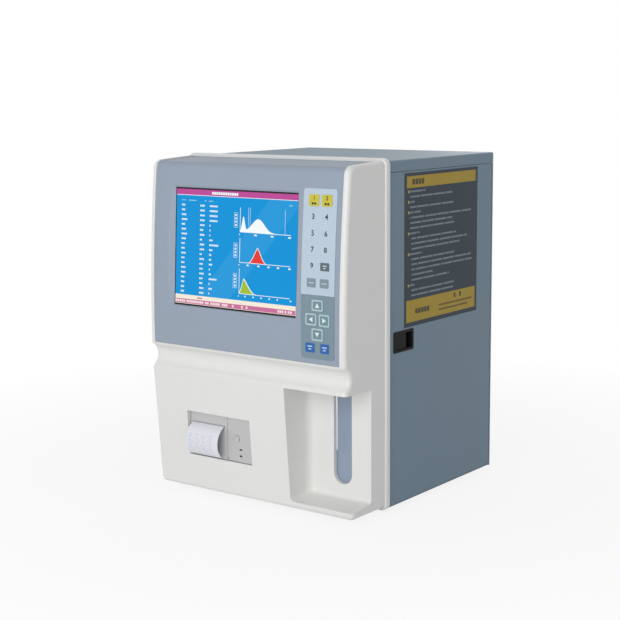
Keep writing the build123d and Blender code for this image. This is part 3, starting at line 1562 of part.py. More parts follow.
# Tubes between the fluid parts: each is its bend's radius and the ends of its straight runs
valve_y = [valve_first_y + i * valve_pitch for i in range(valve_count)]
valve_top = valve_z + valve_size
valve_foot = valve_z - valve_size
bath_foot = bath_seat_z - bath_drop - bath_cone - bath_outlet_length
pump_top = floor_z + pump_height + pump_port_length
pump_port_y = pump_front_y + pump_port_front
chamber_top = floor_z + chamber_height + chamber_port_length
nozzle_top = syringe_seat_z + syringe_length + syringe_end + nozzle_length
fitting_end_y = rear_y - fitting_inside
fitting_lead_y = fitting_end_y - 2 * tube_lead
fitting_z = [fitting_first_z + i * fitting_pitch for i in range(fitting_count)]
tube_runs = [
    (tube_bend, [
        (bath_x, bath_y[0], bath_foot), (bath_x, bath_y[0], bath_foot - tube_lead),
        (valve_pipe_x, valve_y[1], valve_top + tube_lead), (valve_pipe_x, valve_y[1], valve_top),
    ]),
    (tube_bend, [
        (bath_x, bath_y[1], bath_foot), (bath_x, bath_y[1], bath_foot - tube_lead),
        (valve_pipe_x, valve_y[2], valve_top + tube_lead), (valve_pipe_x, valve_y[2], valve_top),
    ]),
    (tube_bend, [
        (valve_pipe_x, valve_y[0], valve_foot), (valve_pipe_x, valve_y[0], valve_foot - tube_lead),
        (pump_left + pump_port_places[0], pump_port_y, pump_top + tube_lead),
        (pump_left + pump_port_places[0], pump_port_y, pump_top),
    ]),
    (tube_bend, [
        (valve_pipe_x, valve_y[1], valve_foot), (valve_pipe_x, valve_y[1], valve_foot - tube_lead),
        (pump_left + pump_port_places[1], pump_port_y, pump_top + tube_lead),
        (pump_left + pump_port_places[1], pump_port_y, pump_top),
    ]),
    (tube_bend, [
        (valve_pipe_x, valve_y[3], valve_foot), (chamber_x - chamber_port_spread, chamber_y, chamber_top),
    ]),
    (tube_loop_bend, [
        (syringe_x, syringe_y[0], nozzle_top), (syringe_x, syringe_y[0], nozzle_top + tube_loop),
        (syringe_x, syringe_y[1], nozzle_top + tube_loop), (syringe_x, syringe_y[1], nozzle_top),
    ]),
    (tube_bend, [
        (valve_pipe_x, valve_y[5], valve_foot), (valve_pipe_x, valve_y[5], fitting_z[0]),
        (fitting_x, fitting_lead_y, fitting_z[0]), (fitting_x, fitting_end_y, fitting_z[0]),
    ]),
    (tube_loop_bend, [
        (chamber_x + chamber_port_spread, chamber_y, chamber_top),
        (chamber_x + chamber_port_spread, chamber_y, fitting_z[1]),
        (fitting_x, fitting_end_y, fitting_z[1]),
    ]),
    (tube_bend, [
        (valve_pipe_x, valve_y[5], valve_top), (valve_pipe_x, valve_y[5], valve_top + 2 * tube_lead),
        (fitting_x, fitting_lead_y, fitting_z[2]), (fitting_x, fitting_end_y, fitting_z[2]),
    ]),
    (tube_bend, [
        (valve_pipe_x, valve_y[3], valve_top), (valve_pipe_x, valve_y[3], fitting_z[3]),
        (fitting_x, (valve_y[3] + valve_y[4]) / 2, fitting_z[3]), (fitting_x, fitting_end_y, fitting_z[3]),
    ]),
]
with BuildPart() as fluid_tubing:
    for bend, places in tube_runs:
        with BuildLine() as run:
            if len(places) > 2:
                FilletPolyline(*places, radius=bend)
            else:
                Line(*places)
        with BuildSketch(Plane(origin=places[0], z_dir=Vector(*places[1]) - Vector(*places[0]))):
            Circle(tube_radius)
        sweep(path=run.line)
fluid_tubing.part.label = "fluid_tubing"
export_step(fluid_tubing.part, "parts/fluid_tubing.step")


# Main board on standoffs along the left side, with its largest parts
board_x = -half_case + sheet + standoff_length
board_face = board_x + board_sheet
with BuildPart() as main_board:
    box_between(board_x, board_x + board_sheet, -board_length / 2, board_length / 2,
                board_z - board_height / 2, board_z + board_height / 2)
    with BuildSketch(beside(board_x)):
        with Locations((0, board_z)):
            with GridLocations(board_length - 2 * standoff_inset, board_height - 2 * standoff_inset, 2, 2):
                Circle(standoff_radius)
    extrude(amount=-standoff_length)
    for y, z, length, height, thickness in board_parts:
        box_between(board_face, board_face + thickness, y - length / 2, y + length / 2,
                    board_z + z - height / 2, board_z + z + height / 2)
main_board.part.label = "main_board"
export_step(main_board.part, "parts/main_board.step")

with BuildPart() as power_supply:
    supply_back = rear_y - supply_back_gap
    box_between(supply_x - supply_width / 2, supply_x + supply_width / 2, supply_back - supply_length,
                supply_back, floor_z, floor_z + supply_height)
    chamfer(edges().filter_by(Axis.Y).group_by(Axis.Z)[-1], supply_edge)
power_supply.part.label = "power_supply"
export_step(power_supply.part, "parts/power_supply.step")


# Fan frame on the rear panel, with three struts and a hub that holds the rotor's pin
fan_back_y = rear_y - sheet
with BuildPart() as fan_frame:
    with BuildSketch(across(fan_back_y)):
        with Locations((fan_x, fan_z)):
            RectangleRounded(fan_size, fan_size, fan_corner)
            Circle(fan_bore, mode=Mode.SUBTRACT)
    extrude(amount=fan_depth)
    with BuildSketch(across(fan_back_y)):
        with Locations((fan_x, fan_z)):
            Circle(fan_hub_radius)
            with PolarLocations((fan_bore + fan_hub_radius) / 2, 3):
                Rectangle(fan_bore - fan_hub_radius + 2 * overlap, fan_strut)
    extrude(amount=fan_strut_sheet)
    with BuildSketch(across(fan_back_y - fan_strut_sheet)):
        with Locations((fan_x, fan_z)):
            Circle(fan_pin_radius)
    extrude(amount=fan_pin_length)
fan_frame.part.label = "fan_frame"
export_step(fan_frame.part, "parts/fan_frame.step")

# Fan rotor: a hub with pitched blades
rotor_back_y = fan_back_y - fan_strut_sheet - rotor_gap
blade_root = fan_hub_radius - overlap
with BuildPart() as fan_rotor:
    with BuildSketch(across(rotor_back_y)):
        with Locations((fan_x, fan_z)):
            Circle(fan_hub_radius)
    extrude(amount=rotor_height)
    for i in range(blade_count):
        angle = 2 * math.pi * i / blade_count
        outward = (math.cos(angle), 0, math.sin(angle))
        along = Vector(0, -1, 0).rotate(Axis((0, 0, 0), outward), blade_pitch)
        root_x = fan_x + blade_root * outward[0]
        root_y = rotor_back_y - rotor_height / 2
        root_z = fan_z + blade_root * outward[2]
        with BuildSketch(Plane(origin=(root_x, root_y, root_z), x_dir=along, z_dir=outward)):
            Rectangle(blade_chord, blade_sheet)
        extrude(amount=blade_length)
    with BuildSketch(across(rotor_back_y)):
        with Locations((fan_x, fan_z)):
            Circle(fan_pin_radius + fit_gap)
    extrude(amount=fan_pin_length, mode=Mode.SUBTRACT)
fan_rotor.part.label = "fan_rotor"
export_step(fan_rotor.part, "parts/fan_rotor.step")

# Finger guard: rings on two crossed bars
with BuildPart() as finger_guard:
    with BuildSketch(across(rear_y + 2 * guard_wire)):
        with Locations((fan_x, fan_z)):
            for radius in guard_radii:
                Circle(radius + guard_wire / 2)
                Circle(radius - guard_wire / 2, mode=Mode.SUBTRACT)
    extrude(amount=guard_wire)
    with BuildSketch(across(rear_y + guard_wire)):
        with Locations((fan_x, fan_z)):
            with PolarLocations(0, 4, 45.0):
                Rectangle(guard_reach, guard_wire)
    extrude(amount=guard_wire)
finger_guard.part.label = "finger_guard"
export_step(finger_guard.part, "parts/finger_guard.step")

# Mains inlet with its three blades
with BuildPart() as mains_inlet:
    with BuildSketch(across(rear_y + inlet_flange)):
        with Locations((inlet_x, inlet_z)):
            RectangleRounded(inlet_flange_width, inlet_flange_height, inlet_corner)
    extrude(amount=inlet_flange)
    with BuildSketch(across(rear_y)):
        with Locations((inlet_x, inlet_z)):
            Rectangle(inlet_body_width, inlet_body_height)
    extrude(amount=inlet_depth + inlet_floor)
    with BuildSketch(across(rear_y + inlet_flange)):
        with Locations((inlet_x, inlet_z)):
            Rectangle(inlet_mouth_width, inlet_mouth_height)
    extrude(amount=inlet_depth + inlet_flange, mode=Mode.SUBTRACT)
    with BuildSketch(across(rear_y - inlet_depth - overlap)):
        for x, z in inlet_blades:
            with Locations((inlet_x + x, inlet_z + z)):
                Rectangle(inlet_blade_sheet, inlet_blade_width)
    extrude(amount=-inlet_blade_length - overlap)
mains_inlet.part.label = "mains_inlet"
export_step(mains_inlet.part, "parts/mains_inlet.step")

# Mains switch: a frame and a rocker on a pin across it
rocker_axis_y = rear_y - rocker_axis_depth
with BuildPart() as rocker_frame:
    with BuildSketch(across(rear_y + rocker_flange)):
        with Locations((inlet_x, rocker_z)):
            RectangleRounded(rocker_flange_width, rocker_flange_height, rocker_corner)
    extrude(amount=rocker_flange)
    with BuildSketch(across(rear_y)):
        with Locations((inlet_x, rocker_z)):
            Rectangle(rocker_body_width, rocker_body_height)
    extrude(amount=rocker_depth + rocker_floor)
    with BuildSketch(across(rear_y + rocker_flange)):
        with Locations((inlet_x, rocker_z)):
            Rectangle(rocker_body_width - 2 * rocker_wall, rocker_body_height - 2 * rocker_wall)
    extrude(amount=rocker_depth + rocker_flange, mode=Mode.SUBTRACT)
    with BuildSketch(level(rocker_z - rocker_pin_reach)):
        with Locations((inlet_x, rocker_axis_y)):
            Circle(rocker_pin_radius + fit_gap)
    extrude(amount=2 * rocker_pin_reach, mode=Mode.SUBTRACT)
rocker_frame.part.label = "rocker_frame"
export_step(rocker_frame.part, "parts/rocker_frame.step")

with BuildPart() as mains_rocker:
    with BuildSketch(level(rocker_z - rocker_half_height)):
        with BuildLine():
            Polyline(*[(inlet_x + x, rocker_axis_y + y) for x, y in rocker_outline], close=True)
        make_face()
    extrude(amount=2 * rocker_half_height)
    with BuildSketch(level(rocker_z - rocker_pin_reach + seat_gap)):
        with Locations((inlet_x, rocker_axis_y)):
            Circle(rocker_pin_radius)
    extrude(amount=2 * (rocker_pin_reach - seat_gap))
mains_rocker.part.label = "mains_rocker"
export_step(mains_rocker.part, "parts/mains_rocker.step")

with BuildPart() as earth_post:
    with BuildSketch(across(rear_y + earth_outside)):
        with Locations((earth_x, inlet_z)):
            Circle(earth_radius)
    extrude(amount=earth_outside + earth_inside)
    with BuildSketch(across(rear_y + earth_nut_height)):
        with Locations((earth_x, inlet_z)):
            RegularPolygon(earth_nut_radius, 6)
    extrude(amount=earth_nut_height)
earth_post.part.label = "earth_post"
export_step(earth_post.part, "parts/earth_post.step")

# Reagent fittings: barbed nipples with a nut
with BuildPart() as reagent_fittings:
    for i in range(fitting_count):
        z = fitting_first_z + i * fitting_pitch
        with BuildSketch(Plane(origin=(fitting_x, rear_y, z), x_dir=(1, 0, 0), z_dir=(0, 0, 1))):
            with BuildLine():
                Polyline(
                    (0, -fitting_inside), (fitting_stem, -fitting_inside), (fitting_stem, 0),
                    (fitting_nut, 0), (fitting_nut, fitting_nut_height), (nipple_radius, fitting_nut_height),
                    (nipple_radius, barb_start), (barb_radius, barb_start),
                    (nipple_radius, barb_start + barb_pitch), (barb_radius, barb_start + barb_pitch),
                    (nipple_radius, barb_start + 2 * barb_pitch), (barb_radius, barb_start + 2 * barb_pitch),
                    (nipple_tip_radius, nipple_length), (0, nipple_length),
                    close=True,
                )
            make_face()
        revolve(axis=Axis((fitting_x, rear_y, z), (0, 1, 0)))
reagent_fittings.part.label = "reagent_fittings"
export_step(reagent_fittings.part, "parts/reagent_fittings.step")

# Data sockets: two nine-way shells with jack nuts
with BuildPart() as data_sockets:
    for i in range(socket_count):
        z = socket_z + i * socket_pitch
        with BuildSketch(across(rear_y + socket_flange)):
            with Locations((inlet_x, z)):
                Rectangle(socket_flange_width, socket_flange_height)
        extrude(amount=socket_flange)
        with BuildSketch(across(rear_y)):
            with Locations((inlet_x, z)):
                Rectangle(socket_body_width, socket_body_height)
        extrude(amount=socket_depth)
        with BuildSketch(across(rear_y + socket_flange + socket_shell)):
            with Locations((inlet_x, z)):
                Trapezoid(socket_shell_width, socket_shell_height, socket_shell_angle)
        extrude(amount=socket_shell)
        with BuildSketch(across(rear_y + socket_flange + socket_nut_height)):
            for x in (-socket_nut_spread, socket_nut_spread):
                with Locations((inlet_x + x, z)):
                    RegularPolygon(socket_nut_radius, 6)
        extrude(amount=socket_nut_height)
data_sockets.part.label = "data_sockets"
export_step(data_sockets.part, "parts/data_sockets.step")

# Screws: the bezel's screws from inside and the rear panel's screws
rear_screws = [
    (x, z) for x in (rear_screw_inset - half_case, 0.0, half_case - rear_screw_inset - pivot_bracket_reach)
    for z in (base_z + rear_screw_low, board_z, seam_z - rear_screw_top)
]
with BuildPart() as case_screws:
    with BuildSketch(across(rim_y + sheet)):
        with Locations(*screw_places):
            Circle(screw_shank_radius)
    extrude(amount=screw_shank_length)
    with BuildSketch(across(rim_y + sheet + screw_head_height)):
        with Locations(*screw_places):
            Circle(screw_head_radius)
    extrude(amount=screw_head_height)
    with BuildSketch(across(rear_y + screw_head_height)):
        with Locations(*rear_screws):
            Circle(screw_head_radius)
    extrude(amount=screw_head_height)
case_screws.part.label = "case_screws"
export_step(case_screws.part, "parts/case_screws.step")

# Rubber feet: turned pads with a dished underside
with BuildPart() as rubber_feet:
    foot_x = half_case - foot_inset
    foot_y = case_depth / 2 - foot_inset
    with BuildSketch(level(foot_height)):
        with GridLocations(2 * foot_x, 2 * foot_y, 2, 2):
            Circle(foot_radius)
    extrude(amount=-foot_height, taper=foot_taper)
    with BuildSketch(level(0)):
        with GridLocations(2 * foot_x, 2 * foot_y, 2, 2):
            Circle(foot_radius / 3)
    extrude(amount=foot_dish, mode=Mode.SUBTRACT)
rubber_feet.part.label = "rubber_feet"
export_step(rubber_feet.part, "parts/rubber_feet.step")
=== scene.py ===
"""Dresses the bench-top blood cell counter: its finishes, its prints and its fine pieces."""

import math

import bmesh
import bpy
from mathutils import Matrix, Vector


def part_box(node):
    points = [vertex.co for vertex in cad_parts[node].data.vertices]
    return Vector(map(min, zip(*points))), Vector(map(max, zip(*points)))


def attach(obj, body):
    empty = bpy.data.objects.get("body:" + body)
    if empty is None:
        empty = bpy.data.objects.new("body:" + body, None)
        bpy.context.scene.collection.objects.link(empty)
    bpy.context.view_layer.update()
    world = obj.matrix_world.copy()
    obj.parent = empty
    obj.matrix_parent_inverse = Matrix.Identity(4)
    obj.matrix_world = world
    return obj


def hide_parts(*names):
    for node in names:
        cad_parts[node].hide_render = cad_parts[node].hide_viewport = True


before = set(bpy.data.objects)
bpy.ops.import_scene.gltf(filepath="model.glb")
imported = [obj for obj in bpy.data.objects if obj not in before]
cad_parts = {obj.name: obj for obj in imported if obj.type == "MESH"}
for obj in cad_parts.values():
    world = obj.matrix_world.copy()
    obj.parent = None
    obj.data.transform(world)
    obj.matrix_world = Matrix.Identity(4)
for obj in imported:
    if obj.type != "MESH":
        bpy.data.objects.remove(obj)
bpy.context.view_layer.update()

bl_info = {
    "name": "Blood cell counter",
    "version": (1, 0, 0),
    "blender": (4, 5, 0),
    "location": "View3D > Sidebar > Counter",
    "description": "Finishes, prints and fine pieces of a bench-top blood cell counter",
    "category": "Object",
}

# Places taken from the frame
glass_low, glass_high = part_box("display_glass")
keypad_low, keypad_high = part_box("membrane_keypad")
sheet_low, sheet_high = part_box("door_sheet")
strip_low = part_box("paper_strip")[0]
foot_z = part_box("base_pan")[0].z

# Directions of the frame
EAST = (1.0, 0.0, 0.0)
WEST = (-1.0, 0.0, 0.0)
NORTH = (0.0, 1.0, 0.0)
UP = (0.0, 0.0, 1.0)

# Body and slot of the prints on each sheet
SCREEN = ("case", "screen_glass")
KEYPAD = ("case", "keypad_film")
DOOR = ("side_door", "door_print")

# Most of a noise lies between these two values
NOISE_LOW = 0.3
NOISE_HIGH = 0.7


def mm(value):
    """Millimetres in metres."""
    return value / 1000.0


def tint(red, green, blue):
    """A colour in display values from 0 to 255, as scene values."""
    values = [channel / 255.0 for channel in (red, green, blue)]
    return tuple(v / 12.92 if v <= 0.04045 else ((v + 0.055) / 1.055) ** 2.4 for v in values)


def length(name, description, default):
    """A property for a length, with its default in millimetres."""
    return bpy.props.FloatProperty(
        name=name, description=description, default=mm(default), unit="LENGTH", precision=5
    )


def colour(name, description, *default):
    """A property for a colour, with its default in display values."""
    return bpy.props.FloatVectorProperty(
        name=name, description=description, default=tint(*default), subtype="COLOR",
        min=0.0, max=1.0
    )


def angle(name, description, default):
    """A property for an angle, with its default in degrees."""
    return bpy.props.FloatProperty(
        name=name, description=description, default=math.radians(default), subtype="ANGLE"
    )


def light(name, description, default):
    """A property for the power of a lamp or the level of a light."""
    return bpy.props.FloatProperty(name=name, description=description, default=default, min=0.0)


class CounterColours(bpy.types.PropertyGroup):
    """Colours of the shells and of the prints."""

    white: colour("White moulding", "Colour of the front moulding", 232, 232, 229)
    console: colour("Console", "Colour of the curved console panel", 154, 166, 181)
    case: colour("Case", "Colour of the powder coat", 122, 143, 158)
    printer: colour("Printer", "Colour of the printer's plastic", 196, 196, 195)
    aspirate: colour("Start plate", "Colour of the plate behind the slot", 146, 160, 180)
    slate: colour("Door sheet", "Ground colour of the sheet on the door", 60, 70, 79)
    mustard: colour("Door bands", "Colour of the bands on the door's sheet", 172, 146, 44)
    picture: colour("Picture", "Ground colour of the display's picture", 0, 148, 218)
    header: colour("Header", "Colour of the picture's header", 192, 68, 152)
    keypad_top: colour("Keypad top", "Colour of the keypad's upper part", 190, 206, 220)
    keypad_foot: colour("Keypad foot", "Colour of the keypad's lower part", 120, 143, 154)
    key_yellow: colour("Yellow keys", "Colour of the two upper keys", 206, 194, 66)
    key_blue: colour("Blue keys", "Colour of the two lower keys", 44, 102, 178)


class CounterSizes(bpy.types.PropertyGroup):
    """Sizes of the prints and of the picture."""

    ink: length("Ink", "How far a print stands off its sheet", 0.06)
    picture_width: length("Picture width", "Width of the display's lit area", 210.4)
    picture_height: length("Picture height", "Height of the display's lit area", 157.4)
    glass_sheet: length("Glass", "Thickness of the display's glass", 1.8)
    key_cap: length("Key cap", "Thickness of a key's coloured print", 0.18)
    digit: length("Digit", "Height of a digit on the keypad", 9.6)
    bar: length("Bar", "Height of a line of the door's print", 2.5)
    bar_pitch: length("Bar pitch", "Distance between lines of the door's print", 7.0)
    screw_radius: length("Screw", "Radius of a screw's head", 3.0)
    screw_height: length("Screw height", "Height of a screw's head", 1.8)
    frame_sheet: length("Sheet", "Thickness of the sheet that the front's screws hold", 1.5)
    stage: length("Stage", "Half width of the floor", 6000.0)


class StageSettings(bpy.types.PropertyGroup):
    """Camera and lamps."""

    lens: bpy.props.FloatProperty(
        name="Lens", description="Focal length on a 36 mm sensor", default=81.226, unit="CAMERA"
    )
    azimuth: angle("Azimuth", "How far the camera stands to the right", 37.14)
    pitch: angle("Pitch", "How far the camera looks down", 9.14)
    roll: angle("Roll", "Turn of the camera about its axis", -0.46)
    camera_place: bpy.props.FloatVectorProperty(
        name="Camera", description="Place of the camera", default=(1.1831, -1.64805, 0.5712),
        subtype="TRANSLATION"
    )
    key_power: light("Key", "Power of the large lamp", 54.0)
    side_power: light("Side", "Power of the side lamp", 1.0)
    back_power: light("Back", "Power of the lamp behind", 24.0)
    world_level: light("World", "Level of the room light", 0.43)


# Shader maths
def maths(operation, reflected=False):
    """An operator of a link that adds a Math node."""
    def add_node(self, other):
        first, second = (other, self) if reflected else (self, other)
        return self.nodes.add("Math", {0: first, 1: second}, operation=operation)
    return add_node


class Link:
    """A shader socket that can stand in a sum."""

    def __init__(self, nodes, socket):
        self.nodes = nodes
        self.socket = socket

    __add__ = maths("ADD")
    __radd__ = maths("ADD", reflected=True)
    __sub__ = maths("SUBTRACT")
    __rsub__ = maths("SUBTRACT", reflected=True)
    __mul__ = maths("MULTIPLY")
    __rmul__ = maths("MULTIPLY", reflected=True)
    __gt__ = maths("GREATER_THAN")
    __lt__ = maths("LESS_THAN")


class Nodes:
    """The nodes of a material or of the world, and the ways to add to them."""

    def __init__(self, tree):
        self.tree = tree

    def add(self, kind, sockets=None, output=0, **settings):
        """A node with its settings and what feeds it, as a link from an output."""
        node = self.tree.nodes.new("ShaderNode" + kind)
        for setting, value in settings.items():
            setattr(node, setting, value)
        for socket, value in (sockets or {}).items():
            self.feed(node.inputs[socket], value)
        return Link(self, node.outputs[output])

    def feed(self, socket, value):
        """Links a socket, or sets it where the value is a constant."""
        if isinstance(value, Link):
            self.tree.links.new(value.socket, socket)
        elif socket.type == "RGBA" and len(value) == 3:
            socket.default_value = (*value, 1.0)
        else:
            socket.default_value = value

    def end(self, surface):
        """Feeds the output with a shader."""
        outlet = next(n for n in self.tree.nodes if n.bl_idname.startswith("ShaderNodeOutput"))
        self.feed(outlet.inputs["Surface"], surface)

    def seen(self):
        """One where a ray comes from the camera, a mirror or a glass, otherwise nothing."""
        ways = ("Camera", "Glossy", "Transmission")
        rays = [self.add("LightPath", output=f"Is {way} Ray") for way in ways]
        return self.ramp(rays[0] + rays[1] + rays[2], 0.0, 1.0)

    def between(self, share, first, second):
        """A mix of two colours."""
        return self.add("Mix", {0: share, 6: first, 7: second}, output=2, data_type="RGBA")

    def ramp(self, value, low, high, start=0.0, end=1.0):
        """The value stretched from one range to another and kept inside it."""
        ranges = {"Value": value, "From Min": low, "From Max": high, "To Min": start, "To Max": end}
        return self.add("MapRange", ranges)


class Finish(Nodes):
    """One material with its shader."""

    def __init__(self, name, **fixed):
        self.material = bpy.data.materials.new(name)
        self.material.use_nodes = True
        super().__init__(self.material.node_tree)
        self.shader = self.tree.nodes["Principled BSDF"]
        self.surface = Link(self, self.shader.outputs[0])
        self.place = self.add("TexCoord", output="Object")
        for words, value in fixed.items():
            self.set(words.replace("_", " ").title().replace("Ior", "IOR"), value)

    def set(self, socket, value):
        """Feeds one of the shader's own sockets."""
        self.feed(self.shader.inputs[socket], value)

    def axis(self, name):
        """One coordinate of the place, in metres."""
        return self.add("SeparateXYZ", {0: self.place}, output=name)

    def noise(self, size, detail=2.0, stretch=(1.0, 1.0, 1.0)):
        """Noise whose cells are about that many metres wide, from 0 to 1."""
        place = self.add("Mapping", {"Vector": self.place, "Scale": stretch})
        return self.add("TexNoise", {"Vector": place, "Scale": 1.0 / size, "Detail": detail})

    def tones(self, share, first, second, low=NOISE_LOW, high=NOISE_HIGH):
        """Base colour that goes from one tone to another as a noise rises."""
        self.set("Base Color", self.between(self.ramp(share, low, high), first, second))

    def gloss(self, share, smooth, rough):
        """Roughness that goes from one value to another as a noise rises."""
        self.set("Roughness", self.ramp(share, NOISE_LOW, NOISE_HIGH, smooth, rough))

    def relief(self, height, depth, strength):
        """Relief of that depth in metres; it ends a finish, which is handed back."""
        sockets = {"Height": height, "Distance": depth, "Strength": strength}
        self.set("Normal", self.add("Bump", sockets))
        return self

    def light(self, ground, shown, strength):
        """Light from behind over a dark ground."""
        self.set("Base Color", shade(ground, 0.08))
        self.set("Emission Color", shown)
        self.set("Emission Strength", strength)


def shade(ground, factor):
    """A colour made darker or lighter."""
    return tuple(min(1.0, channel * factor) for channel in ground[:3])


def moulded(name, ground, roughness, coat=0.0, sheen=0.5):
    """Moulded plastic with a fine spark-eroded grain and a slight drift of its gloss."""
    finish = Finish(name, coat_weight=coat, coat_roughness=0.25, specular_ior_level=sheen)
    drift = finish.noise(mm(70.0), 3.0)
    grain = finish.noise(mm(0.9))
    finish.set("Base Color", finish.between(drift, shade(ground, 0.985), shade(ground, 1.015)))
    finish.gloss(drift * 0.6 + grain * 0.4, roughness - 0.05, roughness + 0.05)
    return finish.relief(grain, mm(0.03), 0.5)


def powder_coat(name, ground):
    """Baked powder paint on sheet metal, with its orange-peel relief and fine specks."""
    finish = Finish(name, coat_weight=0.05, coat_roughness=0.35, specular_ior_level=0.25)
    peel = finish.noise(mm(2.4))
    speck = finish.noise(mm(0.7), 1.0)
    drift = finish.noise(mm(110.0), 3.0)
    finish.tones(speck * 0.5 + drift * 0.5, shade(ground, 0.96), shade(ground, 1.04))
    finish.gloss(drift * 0.5 + peel * 0.5, 0.44, 0.56)
    return finish.relief(peel * 0.7 + speck * 0.3, mm(0.09), 0.6)


def metal(name, ground, roughness, stretch=(1.0, 1.0, 1.0)):
    """Bare metal with its grain drawn out along one axis."""
    finish = Finish(name, metallic=1.0)
    lines = finish.noise(mm(1.2), 3.0, stretch=stretch)
    drift = finish.noise(mm(40.0))
    finish.tones(lines, shade(ground, 0.92), shade(ground, 1.05))
    finish.gloss(lines * 0.6 + drift * 0.4, roughness - 0.07, roughness + 0.09)
    return finish.relief(lines, mm(0.02), 0.4)


def zinc(name):
    """Zinc plated sheet with its faint iridescent bloom."""
    finish = Finish(name, metallic=1.0)
    bloom = finish.noise(mm(28.0), 4.0)
    lines = finish.noise(mm(1.0), stretch=(1.0, 1.0, 0.08))
    finish.tones(bloom, (0.64, 0.655, 0.67), (0.69, 0.69, 0.67), 0.35, 0.65)
    finish.gloss(lines * 0.7 + bloom * 0.3, 0.30, 0.40)
    return finish.relief(lines, mm(0.02), 0.4)


def paper(name, ground):
    """Thermal paper with a faint fibre and a slight sheen."""
    finish = Finish(name)
    fibre = finish.noise(mm(1.6), 4.0, (0.4, 1.0, 1.0))
    finish.tones(fibre, shade(ground, 0.97), shade(ground, 1.02))
    finish.gloss(fibre, 0.52, 0.64)
    return finish.relief(fibre, mm(0.03), 0.4)


def clear(name, ground):
    """Clear plastic with moulding swirls."""
    finish = Finish(name, transmission_weight=0.85, ior=1.49)
    swirl = finish.noise(mm(9.0), 3.0)
    finish.tones(swirl, shade(ground, 0.97), ground)
    finish.gloss(swirl, 0.04, 0.12)
    return finish.relief(swirl, mm(0.04), 0.3)


def soft_rubber(name):
    """Dark rubber with a dry bloom."""
    finish = Finish(name)
    bloom = finish.noise(mm(6.0), 4.0)
    finish.tones(bloom, (0.018, 0.018, 0.019), (0.05, 0.05, 0.052), 0.35, 0.7)
    finish.gloss(bloom, 0.68, 0.86)
    return finish.relief(finish.noise(mm(0.5), 1.0), mm(0.04), 0.6)


def circuit_board(name):
    """Solder mask over copper tracks, with dark chips towards the door."""
    finish = Finish(name, coat_weight=0.3, coat_roughness=0.2)
    face = finish.add("CombineXYZ", {0: finish.axis("Y"), 1: finish.axis("Z")})
    tracks = {"Vector": face, "Scale": 90.0, "Mortar Size": 0.03}
    track = finish.add("TexBrick", tracks, output="Fac")
    mottle = finish.noise(mm(12.0), 3.0)
    mask = finish.between(mottle, (0.01, 0.10, 0.045), (0.02, 0.14, 0.06))
    copper = finish.between(track * 0.45, mask, (0.10, 0.32, 0.12))
    chips = finish.axis("X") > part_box("main_board")[1].x - mm(11.0)
    finish.set("Base Color", finish.between(chips, copper, (0.02, 0.02, 0.022)))
    finish.gloss(mottle, 0.30, 0.42)
    return finish.relief(track, mm(0.04), 0.5)


def keypad_film(name, colours):
    """Polyester film in two fields, with a fine matt texture."""
    finish = Finish(name, coat_weight=0.10, coat_roughness=0.4)
    field_height = mm(83.0)
    upper = finish.axis("Z") > keypad_low.z + field_height
    fine = finish.noise(mm(0.8), 1.0)
    ground = finish.between(upper, tuple(colours.keypad_foot), tuple(colours.keypad_top))
    speck = finish.ramp(fine, 0.2, 0.8, 0.0, 0.05)
    finish.set("Base Color", finish.between(speck, ground, (0.25, 0.30, 0.35)))
    finish.gloss(fine, 0.40, 0.52)
    return finish.relief(fine, mm(0.02), 0.4)


def printed(name, ground, roughness=0.45, glow=0.0, sheen=0.3):
    """Ink on film: a flat colour with a faint mottle, lit from behind where it glows."""
    finish = Finish(name, specular_ior_level=sheen)
    mottle = finish.noise(mm(3.0))
    darker = shade(ground, 0.96)
    lighter = shade(ground, 1.04)
    if glow:
        share = finish.ramp(mottle, NOISE_LOW, NOISE_HIGH)
        finish.light(ground, finish.between(share, darker, lighter), glow)
    else:
        finish.tones(mottle, darker, lighter)
    finish.gloss(mottle, roughness - 0.04, roughness + 0.04)
    return finish.relief(mottle, mm(0.01), 0.3)


def lit_picture(name, ground):
    """The display's ground, lit from behind, with a painted reflection: a paler slanting band
    painted into its glow.
    """
    finish = Finish(name, specular_ior_level=0.15)
    # Painted reflection: a band of sheen between two slanted edges across the glass
    slope = 1.12
    sheen_slant = finish.axis("Z") - finish.axis("X") * slope
    middle = (glass_low.z + glass_high.z) / 2 + mm(21.0)
    foot = finish.ramp(sheen_slant, middle - mm(58.0), middle - mm(56.0))
    top = finish.ramp(sheen_slant, middle + mm(4.0), middle + mm(6.0))
    mottle = finish.noise(mm(50.0))
    glow = finish.between(mottle, shade(ground, 0.97), shade(ground, 1.03))
    # Painted reflection: inside the band the glow is lifted about halfway towards a paler blue
    pale = finish.between(foot * (1.0 - top) * 0.55, glow, tint(52, 160, 222))
    finish.light(ground, pale, 0.9)
    finish.gloss(mottle, 0.16, 0.22)
    return finish


# Modelling
def deselect():
    """Nothing is selected."""
    bpy.ops.object.select_all(action="DESELECT")


def take(piece):
    """Only this piece is selected, and active."""
    deselect()
    piece.select_set(True)
    bpy.context.view_layer.objects.active = piece


def settle(piece):
    """Puts the place, turn and size of a piece into its mesh."""
    take(piece)
    bpy.ops.object.transform_apply(location=True, rotation=True, scale=True)
    return piece


def made(primitive, **settings):
    """A new settled piece from one of Blender's primitives."""
    deselect()
    primitive(**settings)
    return settle(bpy.context.active_object)


def select_mesh():
    """All of the mesh in edit mode is selected."""
    bpy.ops.mesh.select_all(action="SELECT")


def edit_mesh():
    """Edit mode for the active piece, with all of its mesh selected."""
    bpy.ops.object.mode_set(mode="EDIT")
    select_mesh()


def draw_out(x=0.0, y=0.0, z=0.0):
    """Extrudes what is selected along a vector."""
    bpy.ops.mesh.extrude_region_move(TRANSFORM_OT_translate={"value": (x, y, z)})


def close_mesh():
    """Turns all faces outward and leaves edit mode."""
    select_mesh()
    bpy.ops.mesh.normals_make_consistent(inside=False)
    bpy.ops.object.mode_set(mode="OBJECT")


